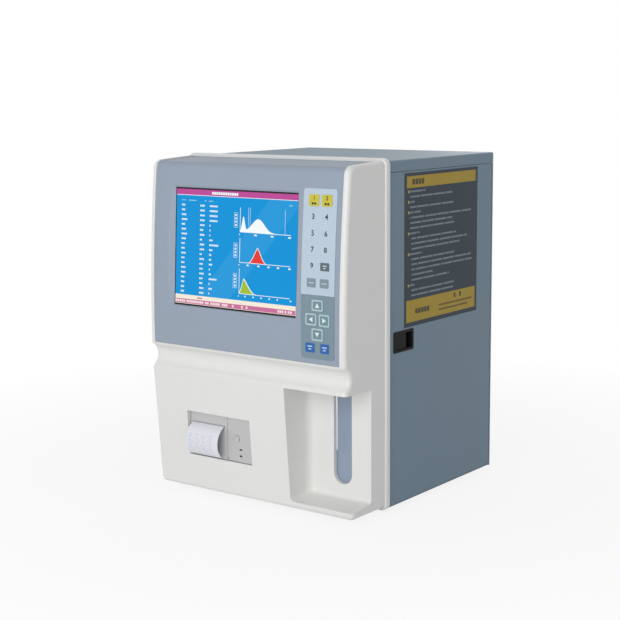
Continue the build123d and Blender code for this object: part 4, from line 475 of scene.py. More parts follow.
def pick(piece, kind, chosen):
    """In edit mode, selects the edges or faces that chosen accepts."""
    bpy.ops.mesh.select_mode(type={"edges": "EDGE", "faces": "FACE"}[kind])
    bpy.ops.mesh.select_all(action="DESELECT")
    shape = bmesh.from_edit_mesh(piece.data)
    for item in getattr(shape, kind):
        item.select_set(bool(chosen(item)))
    shape.select_flush_mode()
    bmesh.update_edit_mesh(piece.data)


def plate(width, height, thickness, corner, place, edge=0.0):
    """A plate with rounded corners whose back lies on a placed plane."""
    piece = made(bpy.ops.mesh.primitive_plane_add, size=1.0)
    piece.scale = (width, height, 1.0)
    settle(piece)
    edit_mesh()
    if corner:
        bpy.ops.mesh.bevel(offset=corner, segments=4, affect="VERTICES")
        select_mesh()
    draw_out(z=thickness)
    if edge:
        bpy.ops.mesh.bevel(offset=edge, segments=2, affect="EDGES")
    close_mesh()
    piece.matrix_world = place
    return settle(piece)


def repeat(piece, places):
    """Copies of a piece at these places, each with its own mesh; the first piece goes."""
    copies = []
    for place in places:
        copy = piece.copy()
        copy.data = piece.data.copy()
        copy.data.transform(place)
        bpy.context.collection.objects.link(copy)
        copies.append(copy)
    bpy.data.objects.remove(piece)
    return copies


def blocks(width, height, thickness, corner, places):
    """Small blocks of one shape, such as letters; in millimetres but for the thickness."""
    block = plate(mm(width), mm(height), thickness, mm(corner), Matrix())
    return repeat(block, places)


def lay(name, pieces, finish, body, slot):
    """Makes one piece of several and gives it its finish and its body; the slot is not used."""
    deselect()
    for piece in pieces:
        piece.select_set(True)
    whole = pieces[0]
    bpy.context.view_layer.objects.active = whole
    if len(pieces) > 1:
        bpy.ops.object.join()
    whole.name = name
    whole.data.materials.clear()
    whole.data.materials.append(finish.material)
    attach(whole, body)
    return whole


def print_on(sheet, name, pieces, ground, *look):
    """Puts prints of one colour on a sheet."""
    lay(name, pieces, printed(name, ground, *look), *sheet)


def facing(origin, right, up):
    """A plane at a point, with its right and up directions, as a matrix."""
    right = Vector(right).normalized()
    up = Vector(up).normalized()
    outward = right.cross(up)
    turn = Matrix((right, up, outward)).transposed().to_4x4()
    return Matrix.Translation(Vector(origin)) @ turn


def on_plane(plane, x, y, lift=0.0):
    """The plane moved to a point of itself, and lifted off it."""
    return plane @ Matrix.Translation((x, y, lift))


def turned(degrees):
    """A turn about the Z axis."""
    return Matrix.Rotation(math.radians(degrees), 4, "Z")


def digit(text, size, thickness, place):
    """A numeral as a thin solid."""
    deselect()
    bpy.ops.object.text_add()
    letter = bpy.context.active_object.data
    letter.body = text
    letter.size = size
    letter.align_x = "CENTER"
    letter.align_y = "CENTER"
    letter.extrude = thickness / 2
    letter.offset = mm(0.16)
    letter.resolution_u = 4
    bpy.ops.object.convert(target="MESH")
    piece = bpy.context.active_object
    piece.matrix_world = place
    return settle(piece)


def hump(width, height, thickness, outline, place, steps=60):
    """A field under a curve: outline gives its height at each share of the width."""
    grid = bpy.ops.mesh.primitive_grid_add
    piece = made(grid, x_subdivisions=steps, y_subdivisions=1, size=1.0)
    least = mm(0.05)
    edit_mesh()
    shape = bmesh.from_edit_mesh(piece.data)
    for vertex in shape.verts:
        share = vertex.co.x + 0.5
        vertex.co.y = max(height * outline(share), least) if vertex.co.y > 0 else 0.0
        vertex.co.x = width * share
    bmesh.update_edit_mesh(piece.data)
    draw_out(z=thickness)
    close_mesh()
    piece.matrix_world = place
    return settle(piece)


def finishes(colours):
    """Each finish with the nodes that wear it."""
    lengthwise = (1.0, 1.0, 0.05)
    return (
        (moulded("white_moulding", colours.white, 0.36, coat=0.15), "front_bezel"),
        (moulded("console_satin", colours.console, 0.46, sheen=0.3), "console_panel"),
        (moulded("printer_grey", colours.printer, 0.48),
         "printer_housing printer_door feed_button"),
        (moulded("start_plate_blue", colours.aspirate, 0.42), "aspirate_plate"),
        (moulded("black_plastic", tint(24, 23, 26), 0.55, sheen=0.12),
         "latch_housing latch_paddle fan_frame fan_rotor mains_inlet rocker_frame mains_rocker "
         "syringe_motor probe_motor diaphragm_pump"),
        (moulded("natural_plastic", tint(226, 223, 210), 0.5),
         "wash_block roll_spindle pinch_valves reagent_fittings syringe_plungers"),
        (moulded("lamp_lens", tint(28, 38, 30), 0.2, coat=0.6), "printer_lamps"),
        (powder_coat("case_coat", colours.case),
         "left_side_panel rear_panel top_cover side_door base_pan"),
        (metal("drawn_steel", (0.74, 0.75, 0.76), 0.2, lengthwise),
         "guide_rod lead_screw sample_probe pivot_pins syringe_screw finger_guard case_screws"),
        (metal("anodised_aluminium", (0.70, 0.71, 0.73), 0.38),
         "print_head probe_carriage bath_holder syringe_bracket"),
        (metal("turned_brass", (0.70, 0.50, 0.22), 0.28), "earth_post"),
        (zinc("zinc_plate"),
         "display_module probe_tower aspirate_bracket front_frame pivot_brackets mounting_plate "
         "power_supply data_sockets"),
        (keypad_film("keypad_film", colours), "membrane_keypad"),
        (printed("display_border", tint(14, 14, 20), 0.2), "display_glass"),
        (paper("thermal_paper", tint(232, 233, 240)), "paper_strip paper_roll"),
        (printed("sheet_slate", colours.slate, 0.55, sheen=0.2), "door_sheet"),
        (clear("clear_plastic", (0.93, 0.96, 0.96)),
         "white_cell_bath red_cell_bath syringe_barrels vacuum_chamber fluid_tubing"),
        (soft_rubber("foot_rubber"), "rubber_feet platen_roller"),
        (circuit_board("board_green"), "main_board"),
    )


class DressSolids(bpy.types.Operator):
    """Gives every solid of the frame its finish"""

    bl_idname = "counter.dress_solids"
    bl_label = "Finishes"

    def execute(self, context):
        bare = set(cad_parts)
        for finish, nodes in finishes(context.scene.counter_colours):
            for node in nodes.split():
                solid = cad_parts[node]
                solid.data.materials.clear()
                solid.data.materials.append(finish.material)
                bare.discard(node)
        if bare:
            raise RuntimeError(f"no finish for {sorted(bare)}")
        return {"FINISHED"}


# Display, in millimetres from the picture's upper left corner
HEADER_HEIGHT = 7.6
FOOT_BAND = 12.4
LETTER_PITCH = 2.05
ROW_PITCH = 6.6
# Each column's start, as a share of the width, and the number of letters in each row
COLUMNS = (
    (0.046, "3345345433433443333"), (0.205, "4444434244243343344"), (0.286, "7777111383223127131"),
)
# Each plot's top and foot, and its labels' width and places
PLOTS = (
    (21.0, 53.0, 4.6, (27.0, 55.0, 84.0)),
    (61.5, 93.6, 3.8, (14.6, 33.0, 50.0, 66.0, 85.0)),
    (102.0, 135.4, 2.2, (11.0, 25.0, 38.5, 52.5, 66.0, 88.0)),
)
# Limits in the first plot: offset, top and foot
LIMITS = ((14.2, 20.5, 50.0), (17.2, 20.5, 50.0), (76.0, 21.5, 53.0))
# Words of the heading: start, as a share of the width, and width
HEADINGS = ((0.045, 3.0), (0.066, 3.0), (0.105, 14.0), (0.24, 3.4), (0.275, 8.4), (0.93, 6.0))
# Words of the foot: start and number of letters, and the letters at the right
FOOT_WORDS = ((2.6, 5), (22.0, 9), (56.0, 2), (65.5, 5), (86.0, 3), (104.0, 1), (120.0, 1),
              (128.0, 1))
FOOT_LETTERS = (182.0, 185.5, 189.0, 194.0, 199.0, 203.0)


def glass_plane(sizes):
    """The front face of the display's glass, from its box in the frame."""
    size = glass_high - glass_low
    tilt = math.atan2(size.y - sizes.glass_sheet, size.z)
    up = Vector((0.0, math.sin(tilt), math.cos(tilt)))
    outward = Vector((0.0, -math.cos(tilt), math.sin(tilt)))
    middle = (glass_low + glass_high) / 2 + outward * (sizes.glass_sheet / 2 + mm(0.02))
    return facing(middle, EAST, up)


def two_bells(share):
    """The outline of the first plot: a narrow and a broad bell."""
    narrow = math.exp(-((share - 0.084) / 0.05) ** 2)
    broad = math.exp(-((share - 0.49) / 0.235) ** 2)
    return min(1.0, 0.92 * narrow + 0.84 * broad) * (1.0 - share ** 6)


def peak(middle, left, right):
    """A pointed curve with a foot that flares a little on each side."""
    def height(share):
        reach = (middle - share) / left if share < middle else (share - middle) / right
        return 0.6 * max(0.0, 1.0 - reach) ** 1.3 + 0.4 * math.exp(-(2.0 * reach) ** 2)
    return height


class AddPicture(bpy.types.Operator):
    """Adds the display's picture: header, lines, three plots and the lower bands"""

    bl_idname = "counter.add_picture"
    bl_label = "Display picture"

    def execute(self, context):
        colours = context.scene.counter_colours
        sizes = context.scene.counter_sizes
        plane = glass_plane(sizes)
        self.ink = sizes.ink
        self.width = sizes.picture_width / mm(1.0)
        self.height = sizes.picture_height / mm(1.0)
        self.corner = on_plane(plane, -sizes.picture_width / 2, sizes.picture_height / 2)
        self.plot_left = self.width * 0.54
        ground = plate(sizes.picture_width, sizes.picture_height, self.ink, 0.0, plane)
        lay("picture_ground", [ground], lit_picture("picture_ground", colours.picture), *SCREEN)
        header = self.field(0.0, 0.0, self.width, HEADER_HEIGHT)
        print_on(SCREEN, "picture_header", [header], colours.header, 0.3, 0.86)
        marks = self.table() + self.plots()
        marks.append(self.field(0.0, HEADER_HEIGHT, self.width, 0.7))
        print_on(SCREEN, "picture_marks", marks, tint(240, 246, 250), 0.3, 0.92)
        headings = [self.field(self.width * share, 14.4, wide, 1.3) for share, wide in HEADINGS]
        print_on(SCREEN, "picture_heading", headings, tint(138, 206, 238), 0.3, 0.88)
        self.curves()
        self.foot_bands()
        return {"FINISHED"}

    def at(self, left, top, layer=1):
        """A point of the picture, so many layers of ink above its ground."""
        return on_plane(self.corner, mm(left), -mm(top), layer * self.ink)

    def field(self, left, top, wide, tall, layer=1):
        """A field of the picture, from its upper left corner."""
        place = self.at(left + wide / 2, top + tall / 2, layer)
        return plate(mm(wide), mm(tall), self.ink, 0.0, place)

    def table(self):
        """The rows of words, and the title in the header."""
        places = [self.at(self.width * share + (step + 0.4) * LETTER_PITCH, 21.6 + row * ROW_PITCH)
                  for share, counts in COLUMNS
                  for row, count in enumerate(counts) for step in range(int(count))]
        title = [self.at(self.width * 0.31 + step * 3.9, 4.1, 2) for step in range(12)]
        return blocks(1.5, 2.4, self.ink, 0.25, places) + blocks(3.1, 3.6, self.ink, 0.3, title)

    def plots(self):
        """The axes of the plots, with limits, labels and framed signs."""
        left = self.plot_left
        marks = [self.field(left + offset, top, 0.4, foot - top) for offset, top, foot in LIMITS]
        for top, foot, wide, offsets in PLOTS:
            marks.append(self.field(left, top, 0.8, foot - top))
            marks.append(self.field(left, foot, 86.0, 0.8))
            labels = [self.at(left + offset, foot + 3.6) for offset in offsets]
            marks += blocks(wide, 1.9, self.ink, 0.3, labels)
            marks.append(self.field(left - 1.2, foot + 3.2, 1.4, 1.4))
            for side in (10.2, 4.4):
                marks.append(self.field(left - side, top + 7.5, 0.4, 19.0))
            for level in (7.1, 26.5):
                marks.append(self.field(left - 9.8, top + level, 5.4, 0.4))
            signs = [self.at(left - 7.1, top + 10.4 + 4.4 * step) for step in range(4)]
            marks += blocks(2.6, 2.4, self.ink, 0.3, signs)
        return marks

    def curves(self):
        """The three curves, and the coloured fields in the second and the third."""
        feet = [foot for top, foot, wide, offsets in PLOTS]

        def curve(offset, foot, wide, tall, outline, layer=1):
            """The field under a curve, that far from the upright axis."""
            place = self.at(self.plot_left + offset, foot, layer)
            return hump(mm(wide), mm(tall), self.ink, outline, place)

        white = [curve(0.6, feet[0], 63.4, 21.5, two_bells),
                 curve(13.5, feet[1], 35.0, 21.0, peak(0.5, 0.43, 0.43)),
                 curve(0.2, feet[2], 44.0, 20.6, peak(0.182, 0.2, 0.46))]
        print_on(SCREEN, "picture_curves", white, tint(244, 248, 250), 0.3, 0.92)
        red = curve(13.5, feet[1], 35.0, 19.4, peak(0.5, 0.39, 0.39), 2)
        print_on(SCREEN, "picture_red", [red], tint(232, 50, 36), 0.3, 0.86)
        green = curve(0.2, feet[2], 44.0, 18.8, peak(0.182, 0.165, 0.41), 2)
        print_on(SCREEN, "picture_green", [green], tint(164, 196, 44), 0.3, 0.84)

    def foot_bands(self):
        """The pale band at the foot, with its coloured strip and its words."""
        foot = self.height - FOOT_BAND
        band = self.field(0.0, foot, self.width, FOOT_BAND)
        print_on(SCREEN, "picture_band", [band], tint(250, 240, 222), 0.3, 0.86)
        strip = [self.field(1.0, foot + 5.8, self.width - 1.6, 6.0, 2),
                 self.field(self.width * 0.19, foot + 2.4, 9.0, 1.8, 2)]
        print_on(SCREEN, "picture_strip", strip, tint(206, 112, 158), 0.3, 0.84)
        letters = [left + step * 3.5 for left, count in FOOT_WORDS for step in range(count)]
        letters += FOOT_LETTERS
        words = blocks(2.9, 3.4, self.ink, 0.4, [self.at(left, foot + 8.8, 3) for left in letters])
        print_on(SCREEN, "picture_words", words, tint(244, 226, 226), 0.3, 0.84)


# Keypad: x from its middle, z from the foot of the case, width and height, in millimetres
YELLOW_KEYS = ((-9.3, 419.5, 16.0, 15.0), (11.2, 419.5, 16.5, 15.0))
GREY_KEYS = ((-10.0, 314.4, 14.0, 11.5), (10.6, 314.5, 13.6, 11.5))
DARK_KEYS = ((11.0, 335.8, 14.0, 10.5),)
BLUE_KEYS = ((-11.3, 230.3, 14.4, 12.2), (12.0, 230.5, 13.3, 12.2))
# Each arrow key with the turn of its arrow
ARROW_KEYS = (
    (0.0, 0.3, 285.7, 18.0, 14.5),
    (90.0, -9.8, 267.2, 17.8, 15.6),
    (-90.0, 11.4, 267.0, 16.8, 16.0),
    (180.0, 0.4, 248.0, 18.0, 16.0),
)
# Marks on the keys, with the radius of their corners
KEY_SIGNS = (
    (-11.3, 232.2, 7.5, 1.6, 0.4), (-11.3, 228.6, 4.5, 1.6, 0.4), (12.0, 232.2, 7.5, 1.6, 0.4),
    (12.0, 228.6, 4.5, 1.6, 0.4), (-10.0, 314.4, 8.0, 1.2, 0.3), (10.6, 314.4, 8.0, 1.2, 0.3),
    (11.0, 337.0, 6.5, 1.4, 0.3), (11.0, 334.0, 3.5, 1.4, 0.3),
)
# Rows of digits: z and the digits from left to right
DIGITS = ((398.6, "34"), (377.5, "56"), (356.8, "78"), (336.0, "9"))
KEY_RISE = mm(0.55)


def keypad_plane(x, z, lift=0.0):
    """The plane of the keypad's face at a point, from the circle through its front line."""
    radius = mm(2164.0)
    height = mm(z - 223.0)
    film_front = keypad_low.y + mm(0.5)
    lean = math.asin(height / radius)
    place = ((keypad_low.x + keypad_high.x) / 2 + mm(x),
             film_front + radius - math.sqrt(radius ** 2 - height ** 2), foot_z + mm(z))
    plane = facing(place, EAST, (0.0, math.sin(lean), math.cos(lean)))
    return on_plane(plane, 0.0, 0.0, lift)


class AddKeyPrints(bpy.types.Operator):
    """Adds the coloured keys and the digits of the keypad"""

    bl_idname = "counter.add_key_prints"
    bl_label = "Key prints"

    def execute(self, context):
        colours = context.scene.counter_colours
        sizes = context.scene.counter_sizes
        ink = sizes.ink
        face = KEY_RISE + sizes.key_cap

        def key(x, z, wide, tall, corner):
            """The coloured print of a raised key."""
            place = keypad_plane(x, z, KEY_RISE)
            return plate(mm(wide), mm(tall), sizes.key_cap, mm(corner), place, mm(0.06))

        def sign(x, z, wide, tall, corner):
            """A mark on a key."""
            place = keypad_plane(x, z, face)
            return plate(mm(wide), mm(tall), ink, mm(corner), place)

        for name, keys, corner, ground in (
            ("keys_yellow", YELLOW_KEYS, 1.4, colours.key_yellow),
            ("keys_grey", GREY_KEYS, 1.2, tint(134, 149, 160)),
            ("key_dark", DARK_KEYS, 1.0, tint(96, 110, 112)),
            ("keys_blue", BLUE_KEYS, 1.2, colours.key_blue),
        ):
            print_on(KEYPAD, name, [key(*place, corner) for place in keys], ground)

        frames = []
        insets = []
        arrows = []
        border = 4.2
        for degrees, x, z, wide, tall in ARROW_KEYS:
            frames.append(key(x, z, wide, tall, 2.0))
            insets.append(sign(x, z, wide - border, tall - border, 1.2))
            plane = keypad_plane(x, z, face + ink) @ turned(degrees)
            place = on_plane(plane, -mm(3.3), -mm(2.8))
            arrows.append(hump(mm(6.6), mm(6.0), ink, lambda s: 1.0 - abs(2.0 * s - 1.0), place, 2))
        print_on(KEYPAD, "key_frames", frames, tint(176, 204, 208))
        print_on(KEYPAD, "key_insets", insets, tint(120, 143, 152))
        print_on(KEYPAD, "key_arrows", arrows, tint(226, 238, 240))

        digits = [digit(value, sizes.digit, ink, keypad_plane(x, z, ink))
                  for z, values in DIGITS for x, value in zip((-10.0, 11.0), values)]
        for (x, z, wide, tall), value in zip(YELLOW_KEYS, "12"):
            digits.append(digit(value, mm(7.0), ink, keypad_plane(x, z + 2.9, face + ink / 2)))
            for side in (-2.1, 2.1):
                digits.append(sign(x + side, z - 4.1, 3.2, 2.8, 0.5))
        print_on(KEYPAD, "key_digits", digits, tint(40, 46, 54))

        print_on(KEYPAD, "key_signs", [sign(*place) for place in KEY_SIGNS], tint(198, 210, 218))
        return {"FINISHED"}


# Door sheet: each line's share of the width, and the lines that start with a bullet
LINE_SHARES = (0.22, 0.66, 0.06, 0.68, 0.16, 0.97, 0.66, 0.70, 0.14, 0.72, 0.92, 0.78, 0.18, 0.70,
               0.98, 0.99, 0.34, 0.62, 0.06, 0.70, 0.68)
HEADED_LINES = (0, 2, 4, 8, 12, 18)
# Where lines start, and how much further in from the tenth on, in millimetres
LINE_START = 15.0
LINE_INDENT = 3.4


class AddDoorPrint(bpy.types.Operator):
    """Adds the fields and lines printed on the sheet of the side door"""

    bl_idname = "counter.add_door_print"
    bl_label = "Door print"

    def execute(self, context):
        colours = context.scene.counter_colours
        sizes = context.scene.counter_sizes
        ink = sizes.ink
        bar = sizes.bar / mm(1.0)
        bar_pitch = sizes.bar_pitch / mm(1.0)
        plane = facing((sheet_high.x, sheet_low.y, sheet_low.z), NORTH, UP)
        width = (sheet_high.y - sheet_low.y) / mm(1.0)
        height = (sheet_high.z - sheet_low.z) / mm(1.0)

        def at(left, foot, layer=0):
            """A point of the sheet in millimetres, from its lower left corner."""
            return on_plane(plane, mm(left), mm(foot), layer * ink)

        def band(left, foot, wide, tall):
            """A band of the print, from its lower left corner."""
            place = at(left + wide / 2, foot + tall / 2)
            return plate(mm(wide), mm(tall), ink, 0.0, place)

        def line(left, foot, pitch, count):
            """The places of a line of letters on a band."""
            return [at(left + step * pitch, foot, 1) for step in range(count)]

        margin = 5.5
        bands = [band(margin, height - 20.0, width - 2 * margin, 15.7),
                 band(margin - 0.7, 6.0, width - 2 * margin + 1.0, 30.0)]
        print_on(DOOR, "door_bands", bands, colours.mustard)

        bullets = []
        letters = []
        for row, share in enumerate(LINE_SHARES):
            foot = height - 26.0 - row * bar_pitch
            left = LINE_START
            if row in HEADED_LINES:
                bullets.append(at(10.2, foot + 1.2))
            elif row > 8:
                left += LINE_INDENT
            step = 0
            while left < LINE_START + (width - 29.0) * share:
                letters.append(at(left, foot + bar / 2))
                step += 1
                left += 2.75 if (step * 7 + row * 3) % 11 else 4.6
        bullets = blocks(3.6, 3.8, ink, 1.2, bullets)
        print_on(DOOR, "door_bullets", bullets, tint(196, 178, 92))
        letters = blocks(2.0, bar, ink, 0.4, letters)
        print_on(DOOR, "door_lines", letters, tint(140, 150, 156))

        darks = blocks(6.2, 7.4, ink, 0.8, line(22.0, height - 12.2, 7.6, 4))
        darks += blocks(5.0, 6.4, ink, 0.8, line(width * 0.68, 29.6, width * 0.08, 2))
        darks += blocks(6.4, 7.2, ink, 1.6, line(30.0, 19.6, 7.4, 5))
        darks += blocks(2.2, 2.5, ink, 0.4, line(width * 0.47, 20.4, 2.95, 30)
                        + line(width * 0.47, 14.0, 2.95, 26))
        print_on(DOOR, "door_dark_lines", darks, tint(74, 62, 26))
        return {"FINISHED"}


class AddPaperPrint(bpy.types.Operator):
    """Adds the faint printed lines on the curled paper"""

    bl_idname = "counter.add_paper_print"
    bl_label = "Paper print"

    def execute(self, context):
        radius = mm(25.0)
        centre = Vector((strip_low.x, strip_low.y + radius, foot_z + mm(76.5)))
        word_widths = (6.0, 9.0, 4.5, 11.0)
        marks = []
        for row in range(8):
            degrees = math.radians(156.0 + row * 7.0)
            outward = Vector((0.0, math.cos(degrees), math.sin(degrees)))
            up = Vector((0.0, math.sin(degrees), -math.cos(degrees)))
            plane = facing(centre + outward * (radius + mm(0.005)), EAST, up)
            left = mm(5.0)
            for word in range(4):
                wide = mm(word_widths[(row + word) % 4])
                place = on_plane(plane, left + wide / 2, 0.0)
                marks.append(plate(wide, mm(1.3), mm(0.01), 0.0, place))
                left += wide + mm(4.0)
        print_on(("printer_door", "paper_white"), "paper_marks", marks, tint(212, 214, 224))
        return {"FINISHED"}


def screw_head(radius, height):
    """A domed head with two crossed slots cut in it."""
    head = made(bpy.ops.mesh.primitive_cylinder_add, vertices=32, radius=radius, depth=height,
                location=(0.0, 0.0, height / 2))
    edit_mesh()
    pick(head, "edges", lambda edge: all(vertex.co.z > height / 2 for vertex in edge.verts))
    bpy.ops.mesh.bevel(offset=height * 0.55, segments=4, affect="EDGES")
    bpy.ops.object.mode_set(mode="OBJECT")
    for degrees in (0.0, 90.0):
        deselect()
        bpy.ops.mesh.primitive_cube_add(size=1.0, location=(0.0, 0.0, height),
                                        rotation=(0.0, 0.0, math.radians(degrees)))
        slot = bpy.context.active_object
        slot.scale = (radius * 1.2, radius * 0.28, height * 1.1)
        settle(slot)
        take(head)
        recess = head.modifiers.new("recess", "BOOLEAN")
        recess.object = slot
        bpy.ops.object.modifier_apply(modifier=recess.name)
        bpy.data.objects.remove(slot)
    bpy.ops.object.shade_smooth_by_angle(angle=math.radians(32.0))
    return head


class AddScrews(bpy.types.Operator):
    """Adds the cross-recessed screws of the front and of the rear panel"""

    bl_idname = "counter.add_screws"
    bl_label = "Screws"

    def execute(self, context):
        sizes = context.scene.counter_sizes
        height = sizes.screw_height
        rear_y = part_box("rear_panel")[1].y
        head_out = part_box("case_screws")[1].y - rear_y
        front_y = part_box("front_frame")[0].y + sizes.frame_sheet + head_out - height
        places = [(mm(x), rear_y, mm(z))
                  for x in (-155.0, 0.0, 147.0) for z in (31.0, 247.0, 448.0)]
        places += [(mm(x), front_y, mm(z)) for x in (-120.0, 0.0, 120.0) for z in (17.0, 462.7)]
        head = screw_head(sizes.screw_radius, height)
        screws = repeat(head, [facing(place, WEST, UP) for place in places])
        piece = lay("cross_screws", screws, zinc("screw_zinc"), "case", "plated_steel")
        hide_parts("case_screws")
        return {"FINISHED"}


def wire_ring(radius, wire):
    """A round wire bent to a ring in the plane of X and Y."""
    ring = made(bpy.ops.mesh.primitive_circle_add, vertices=10, radius=wire,
                location=(radius, 0.0, 0.0), rotation=(math.pi / 2, 0.0, 0.0))
    edit_mesh()
    bpy.ops.mesh.spin(steps=max(20, round(radius / mm(0.6))), angle=2 * math.pi,
                      center=(0.0, 0.0, 0.0), axis=UP)
    select_mesh()
    bpy.ops.mesh.remove_doubles(threshold=mm(0.01))
    close_mesh()
    return ring


class AddFingerGuard(bpy.types.Operator):
    """Adds the wire guard over the fan: four rings on two crossed wires with an eye at each end"""

    bl_idname = "counter.add_finger_guard"
    bl_label = "Finger guard"

    def execute(self, context):
        low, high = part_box("finger_guard")
        wire = (high.y - low.y) / 4
        reach = (high.x - low.x) / 2 * math.sqrt(2.0) - mm(3.4)
        pieces = [wire_ring(mm(radius), wire) for radius in (10.0, 19.0, 28.0, 37.0)]
        for ring in pieces:
            ring.data.transform(Matrix.Translation((0.0, 0.0, 3 * wire)))
        arm = made(bpy.ops.mesh.primitive_circle_add, vertices=10, radius=wire, fill_type="NGON",
                   location=(-reach, 0.0, wire), rotation=(0.0, math.pi / 2, 0.0))
        edit_mesh()
        draw_out(x=2 * reach)
        close_mesh()
        pieces += repeat(arm, [turned(degrees) for degrees in (45.0, 135.0)])
        eye = wire_ring(mm(2.2), wire)
        end = Matrix.Translation((reach + mm(1.4), 0.0, wire))
        pieces += repeat(eye, [turned(45.0 + 90.0 * step) @ end for step in range(4)])
        middle = ((low.x + high.x) / 2, low.y, (low.z + high.z) / 2)
        for piece in pieces:
            piece.matrix_world = facing(middle, WEST, UP)
            settle(piece)
        guard = lay("wire_guard", pieces, metal("guard_nickel", (0.70, 0.71, 0.72), 0.3),
                    "case", "bright_steel")
        bpy.ops.object.shade_smooth_by_angle(angle=math.radians(50.0))
        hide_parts("finger_guard")
        return {"FINISHED"}


def round_contact():
    """A round contact with a sunk middle."""
    contact = made(bpy.ops.mesh.primitive_cylinder_add, vertices=12, radius=mm(0.62),
                   depth=mm(0.12), location=(0.0, 0.0, mm(0.18)))
    edit_mesh()
    pick(contact, "faces", lambda face: face.normal.z > 0.9)
    bpy.ops.mesh.inset(thickness=mm(0.2))
    draw_out(z=-mm(0.1))
    bpy.ops.object.mode_set(mode="OBJECT")
    return contact


class AddSocketFaces(bpy.types.Operator):
    """Adds the insulators and the contacts of the two data sockets"""

    bl_idname = "counter.add_socket_faces"
    bl_label = "Socket faces"

    def execute(self, context):
        low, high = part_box("data_sockets")
        middle_x = (low.x + high.x) / 2
        middle_z = (low.z + high.z) / 2
        faces = [facing((middle_x, high.y, middle_z + mm(z)), WEST, UP) for z in (-14.0, 14.0)]
        insert = plate(mm(14.4), mm(6.2), mm(0.12), mm(1.8), Matrix(), mm(0.04))
        black = moulded("insulator_black", tint(34, 34, 38), 0.5, sheen=0.25)
        lay("socket_inserts", repeat(insert, faces), black, "case", "black_plastic")
        pitch = 2.77
        row = 1.42
        spots = [((step - 2.0) * pitch, row) for step in range(5)]
        spots += [((step - 1.5) * pitch, -row) for step in range(4)]
        places = [on_plane(face, mm(x), mm(y)) for face in faces for x, y in spots]
        contacts = repeat(round_contact(), places)
        gold = metal("contact_gold", (0.83, 0.62, 0.28), 0.25)
        lay("socket_contacts", contacts, gold, "case", "brass_metal")
        return {"FINISHED"}


class AddSwitchMarks(bpy.types.Operator):
    """Adds the bar and the ring on the mains rocker"""

    bl_idname = "counter.add_switch_marks"
    bl_label = "Switch marks"

    def execute(self, context):
        ink = context.scene.counter_sizes.ink
        low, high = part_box("mains_rocker")
        axis_x = low.x + mm(7.4)
        axis_y = high.y - mm(4.2)
        level = (low.z + high.z) / 2
        raised = facing((axis_x - mm(3.6), axis_y + mm(3.48), level), (-6.6, 1.6, 0.0), UP)
        lowered = facing((axis_x + mm(4.4), axis_y + mm(1.92), level), (-7.6, 1.2, 0.0), UP)
        bar = plate(mm(0.7), mm(3.6), ink, mm(0.2), raised)
        disc = bpy.ops.mesh.primitive_circle_add
        ring = made(disc, vertices=32, radius=mm(1.9), fill_type="NGON")
        edit_mesh()
        bpy.ops.mesh.inset(thickness=mm(0.55))
        bpy.ops.mesh.delete(type="FACE")
        select_mesh()
        draw_out(z=ink)
        close_mesh()
        ring.matrix_world = lowered
        marks = [bar, settle(ring)]
        print_on(("mains_rocker", "black_plastic"), "switch_marks", marks, tint(232, 232, 230))
        return {"FINISHED"}


def add_floor(sizes):
    """A pale floor that turns to plain white away from the counter."""
    place = (0.0, 0.0, -mm(0.2))
    floor = made(bpy.ops.mesh.primitive_plane_add, size=2 * sizes.stage, location=place)
    floor.name = "floor"
    finish = Finish("floor_pale", base_color=(0.88, 0.88, 0.88), roughness=0.9,
                    specular_ior_level=0.1)
    east = finish.axis("X")
    north = finish.axis("Y")
    fade = finish.ramp(east * east + north * north, 0.06, 0.9, 0.86, 1.0)
    white = finish.add("Emission", {"Color": (1.0, 1.0, 1.0), "Strength": 1.0})
    shown = {0: finish.seen() * fade, 1: finish.surface, 2: white}
    finish.end(finish.add("MixShader", shown))
    floor.data.materials.append(finish.material)


def add_lamps(stage):
    """A large lamp before the front, a weak one at the right and one behind."""
    target = Vector((0.0, -0.05, 0.24))
    for name, place, size, power in (
        ("key_lamp", (0.6, -3.2, 1.1), 2.4, stage.key_power),
        ("side_lamp", (2.8, -1.0, 1.2), 1.8, stage.side_power),
        ("back_lamp", (-0.7, 3.2, 0.8), 2.0, stage.back_power),
    ):
        deselect()
        bpy.ops.object.light_add(type="AREA", location=place)
        lamp = bpy.context.active_object
        lamp.name = name
        lamp.data.energy = power
        lamp.data.size = size
        lamp.rotation_euler = (target - Vector(place)).to_track_quat("-Z", "Y").to_euler()


def room(stage):
    """An even room whose walls look white."""
    world = bpy.data.worlds.new("studio")
    world.use_nodes = True
    nodes = Nodes(world.node_tree)
    walls = nodes.add("Background", {"Color": (0.97, 0.98, 1.0), "Strength": stage.world_level})
    white = nodes.add("Background", {"Color": (1.0, 1.0, 1.0), "Strength": 1.0})
    nodes.end(nodes.add("MixShader", {0: nodes.seen(), 1: walls, 2: white}))
    return world


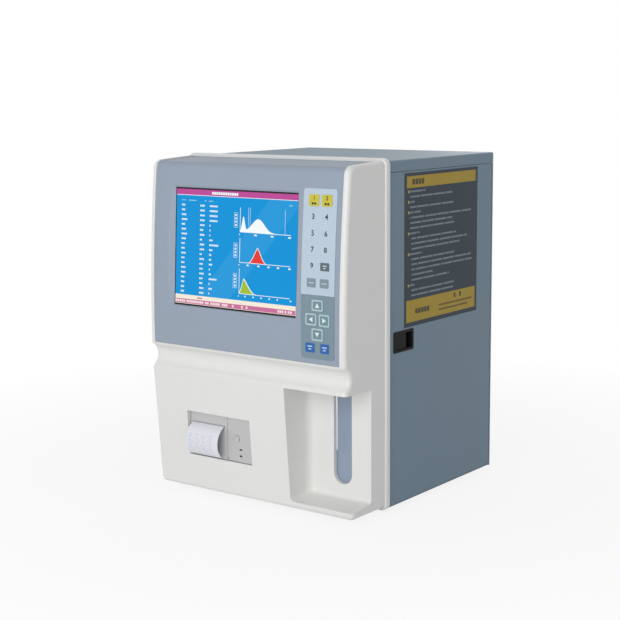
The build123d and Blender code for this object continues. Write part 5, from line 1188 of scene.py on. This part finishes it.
def add_camera(stage):
    """The camera at the view from the front right."""
    deselect()
    bpy.ops.object.camera_add()
    camera = bpy.context.active_object
    camera.data.lens = stage.lens
    camera.data.sensor_width = 36.0
    camera.data.clip_end = 50.0
    azimuth = Matrix.Rotation(stage.azimuth, 4, "Z")
    pitch = Matrix.Rotation(math.pi / 2 - stage.pitch, 4, "X")
    roll = Matrix.Rotation(stage.roll, 4, "Z")
    camera.matrix_world = Matrix.Translation(stage.camera_place) @ azimuth @ pitch @ roll
    return camera


class SetStage(bpy.types.Operator):
    """Sets the floor, the lamps, the world and the camera"""

    bl_idname = "counter.set_stage"
    bl_label = "Stage"

    def execute(self, context):
        scene = context.scene
        add_floor(scene.counter_sizes)
        add_lamps(scene.counter_stage)
        scene.world = room(scene.counter_stage)
        scene.camera = add_camera(scene.counter_stage)
        scene.view_settings.view_transform = "Standard"
        return {"FINISHED"}


operators = (DressSolids, AddPicture, AddKeyPrints, AddDoorPrint, AddPaperPrint, AddScrews,
             AddFingerGuard, AddSocketFaces, AddSwitchMarks, SetStage)


class CounterPanel(bpy.types.Panel):
    """Lists the counter's colours, sizes and steps"""

    bl_idname = "VIEW3D_PT_counter"
    bl_label = "Blood cell counter"
    bl_space_type = "VIEW_3D"
    bl_region_type = "UI"
    bl_category = "Counter"

    def draw(self, context):
        for settings in groups:
            group = getattr(context.scene, settings)
            for name in group.__annotations__:
                self.layout.prop(group, name)
        for operator in operators:
            self.layout.operator(operator.bl_idname)


groups = {
    "counter_colours": CounterColours,
    "counter_sizes": CounterSizes,
    "counter_stage": StageSettings,
}
kinds = (*groups.values(), *operators, CounterPanel)


def register():
    """Adds the classes and the settings."""
    for kind in kinds:
        bpy.utils.register_class(kind)
    for name, group in groups.items():
        setattr(bpy.types.Scene, name, bpy.props.PointerProperty(type=group))


def unregister():
    """Removes the settings and the classes."""
    for name in groups:
        delattr(bpy.types.Scene, name)
    for kind in reversed(kinds):
        bpy.utils.unregister_class(kind)


def main():
    """Builds the scene."""
    register()
    bpy.ops.counter.dress_solids()
    bpy.ops.counter.add_picture()
    bpy.ops.counter.add_key_prints()
    bpy.ops.counter.add_door_print()
    bpy.ops.counter.add_paper_print()
    bpy.ops.counter.add_screws()
    bpy.ops.counter.add_finger_guard()
    bpy.ops.counter.add_socket_faces()
    bpy.ops.counter.add_switch_marks()
    bpy.ops.counter.set_stage()


if __name__ == "__main__":
    main()
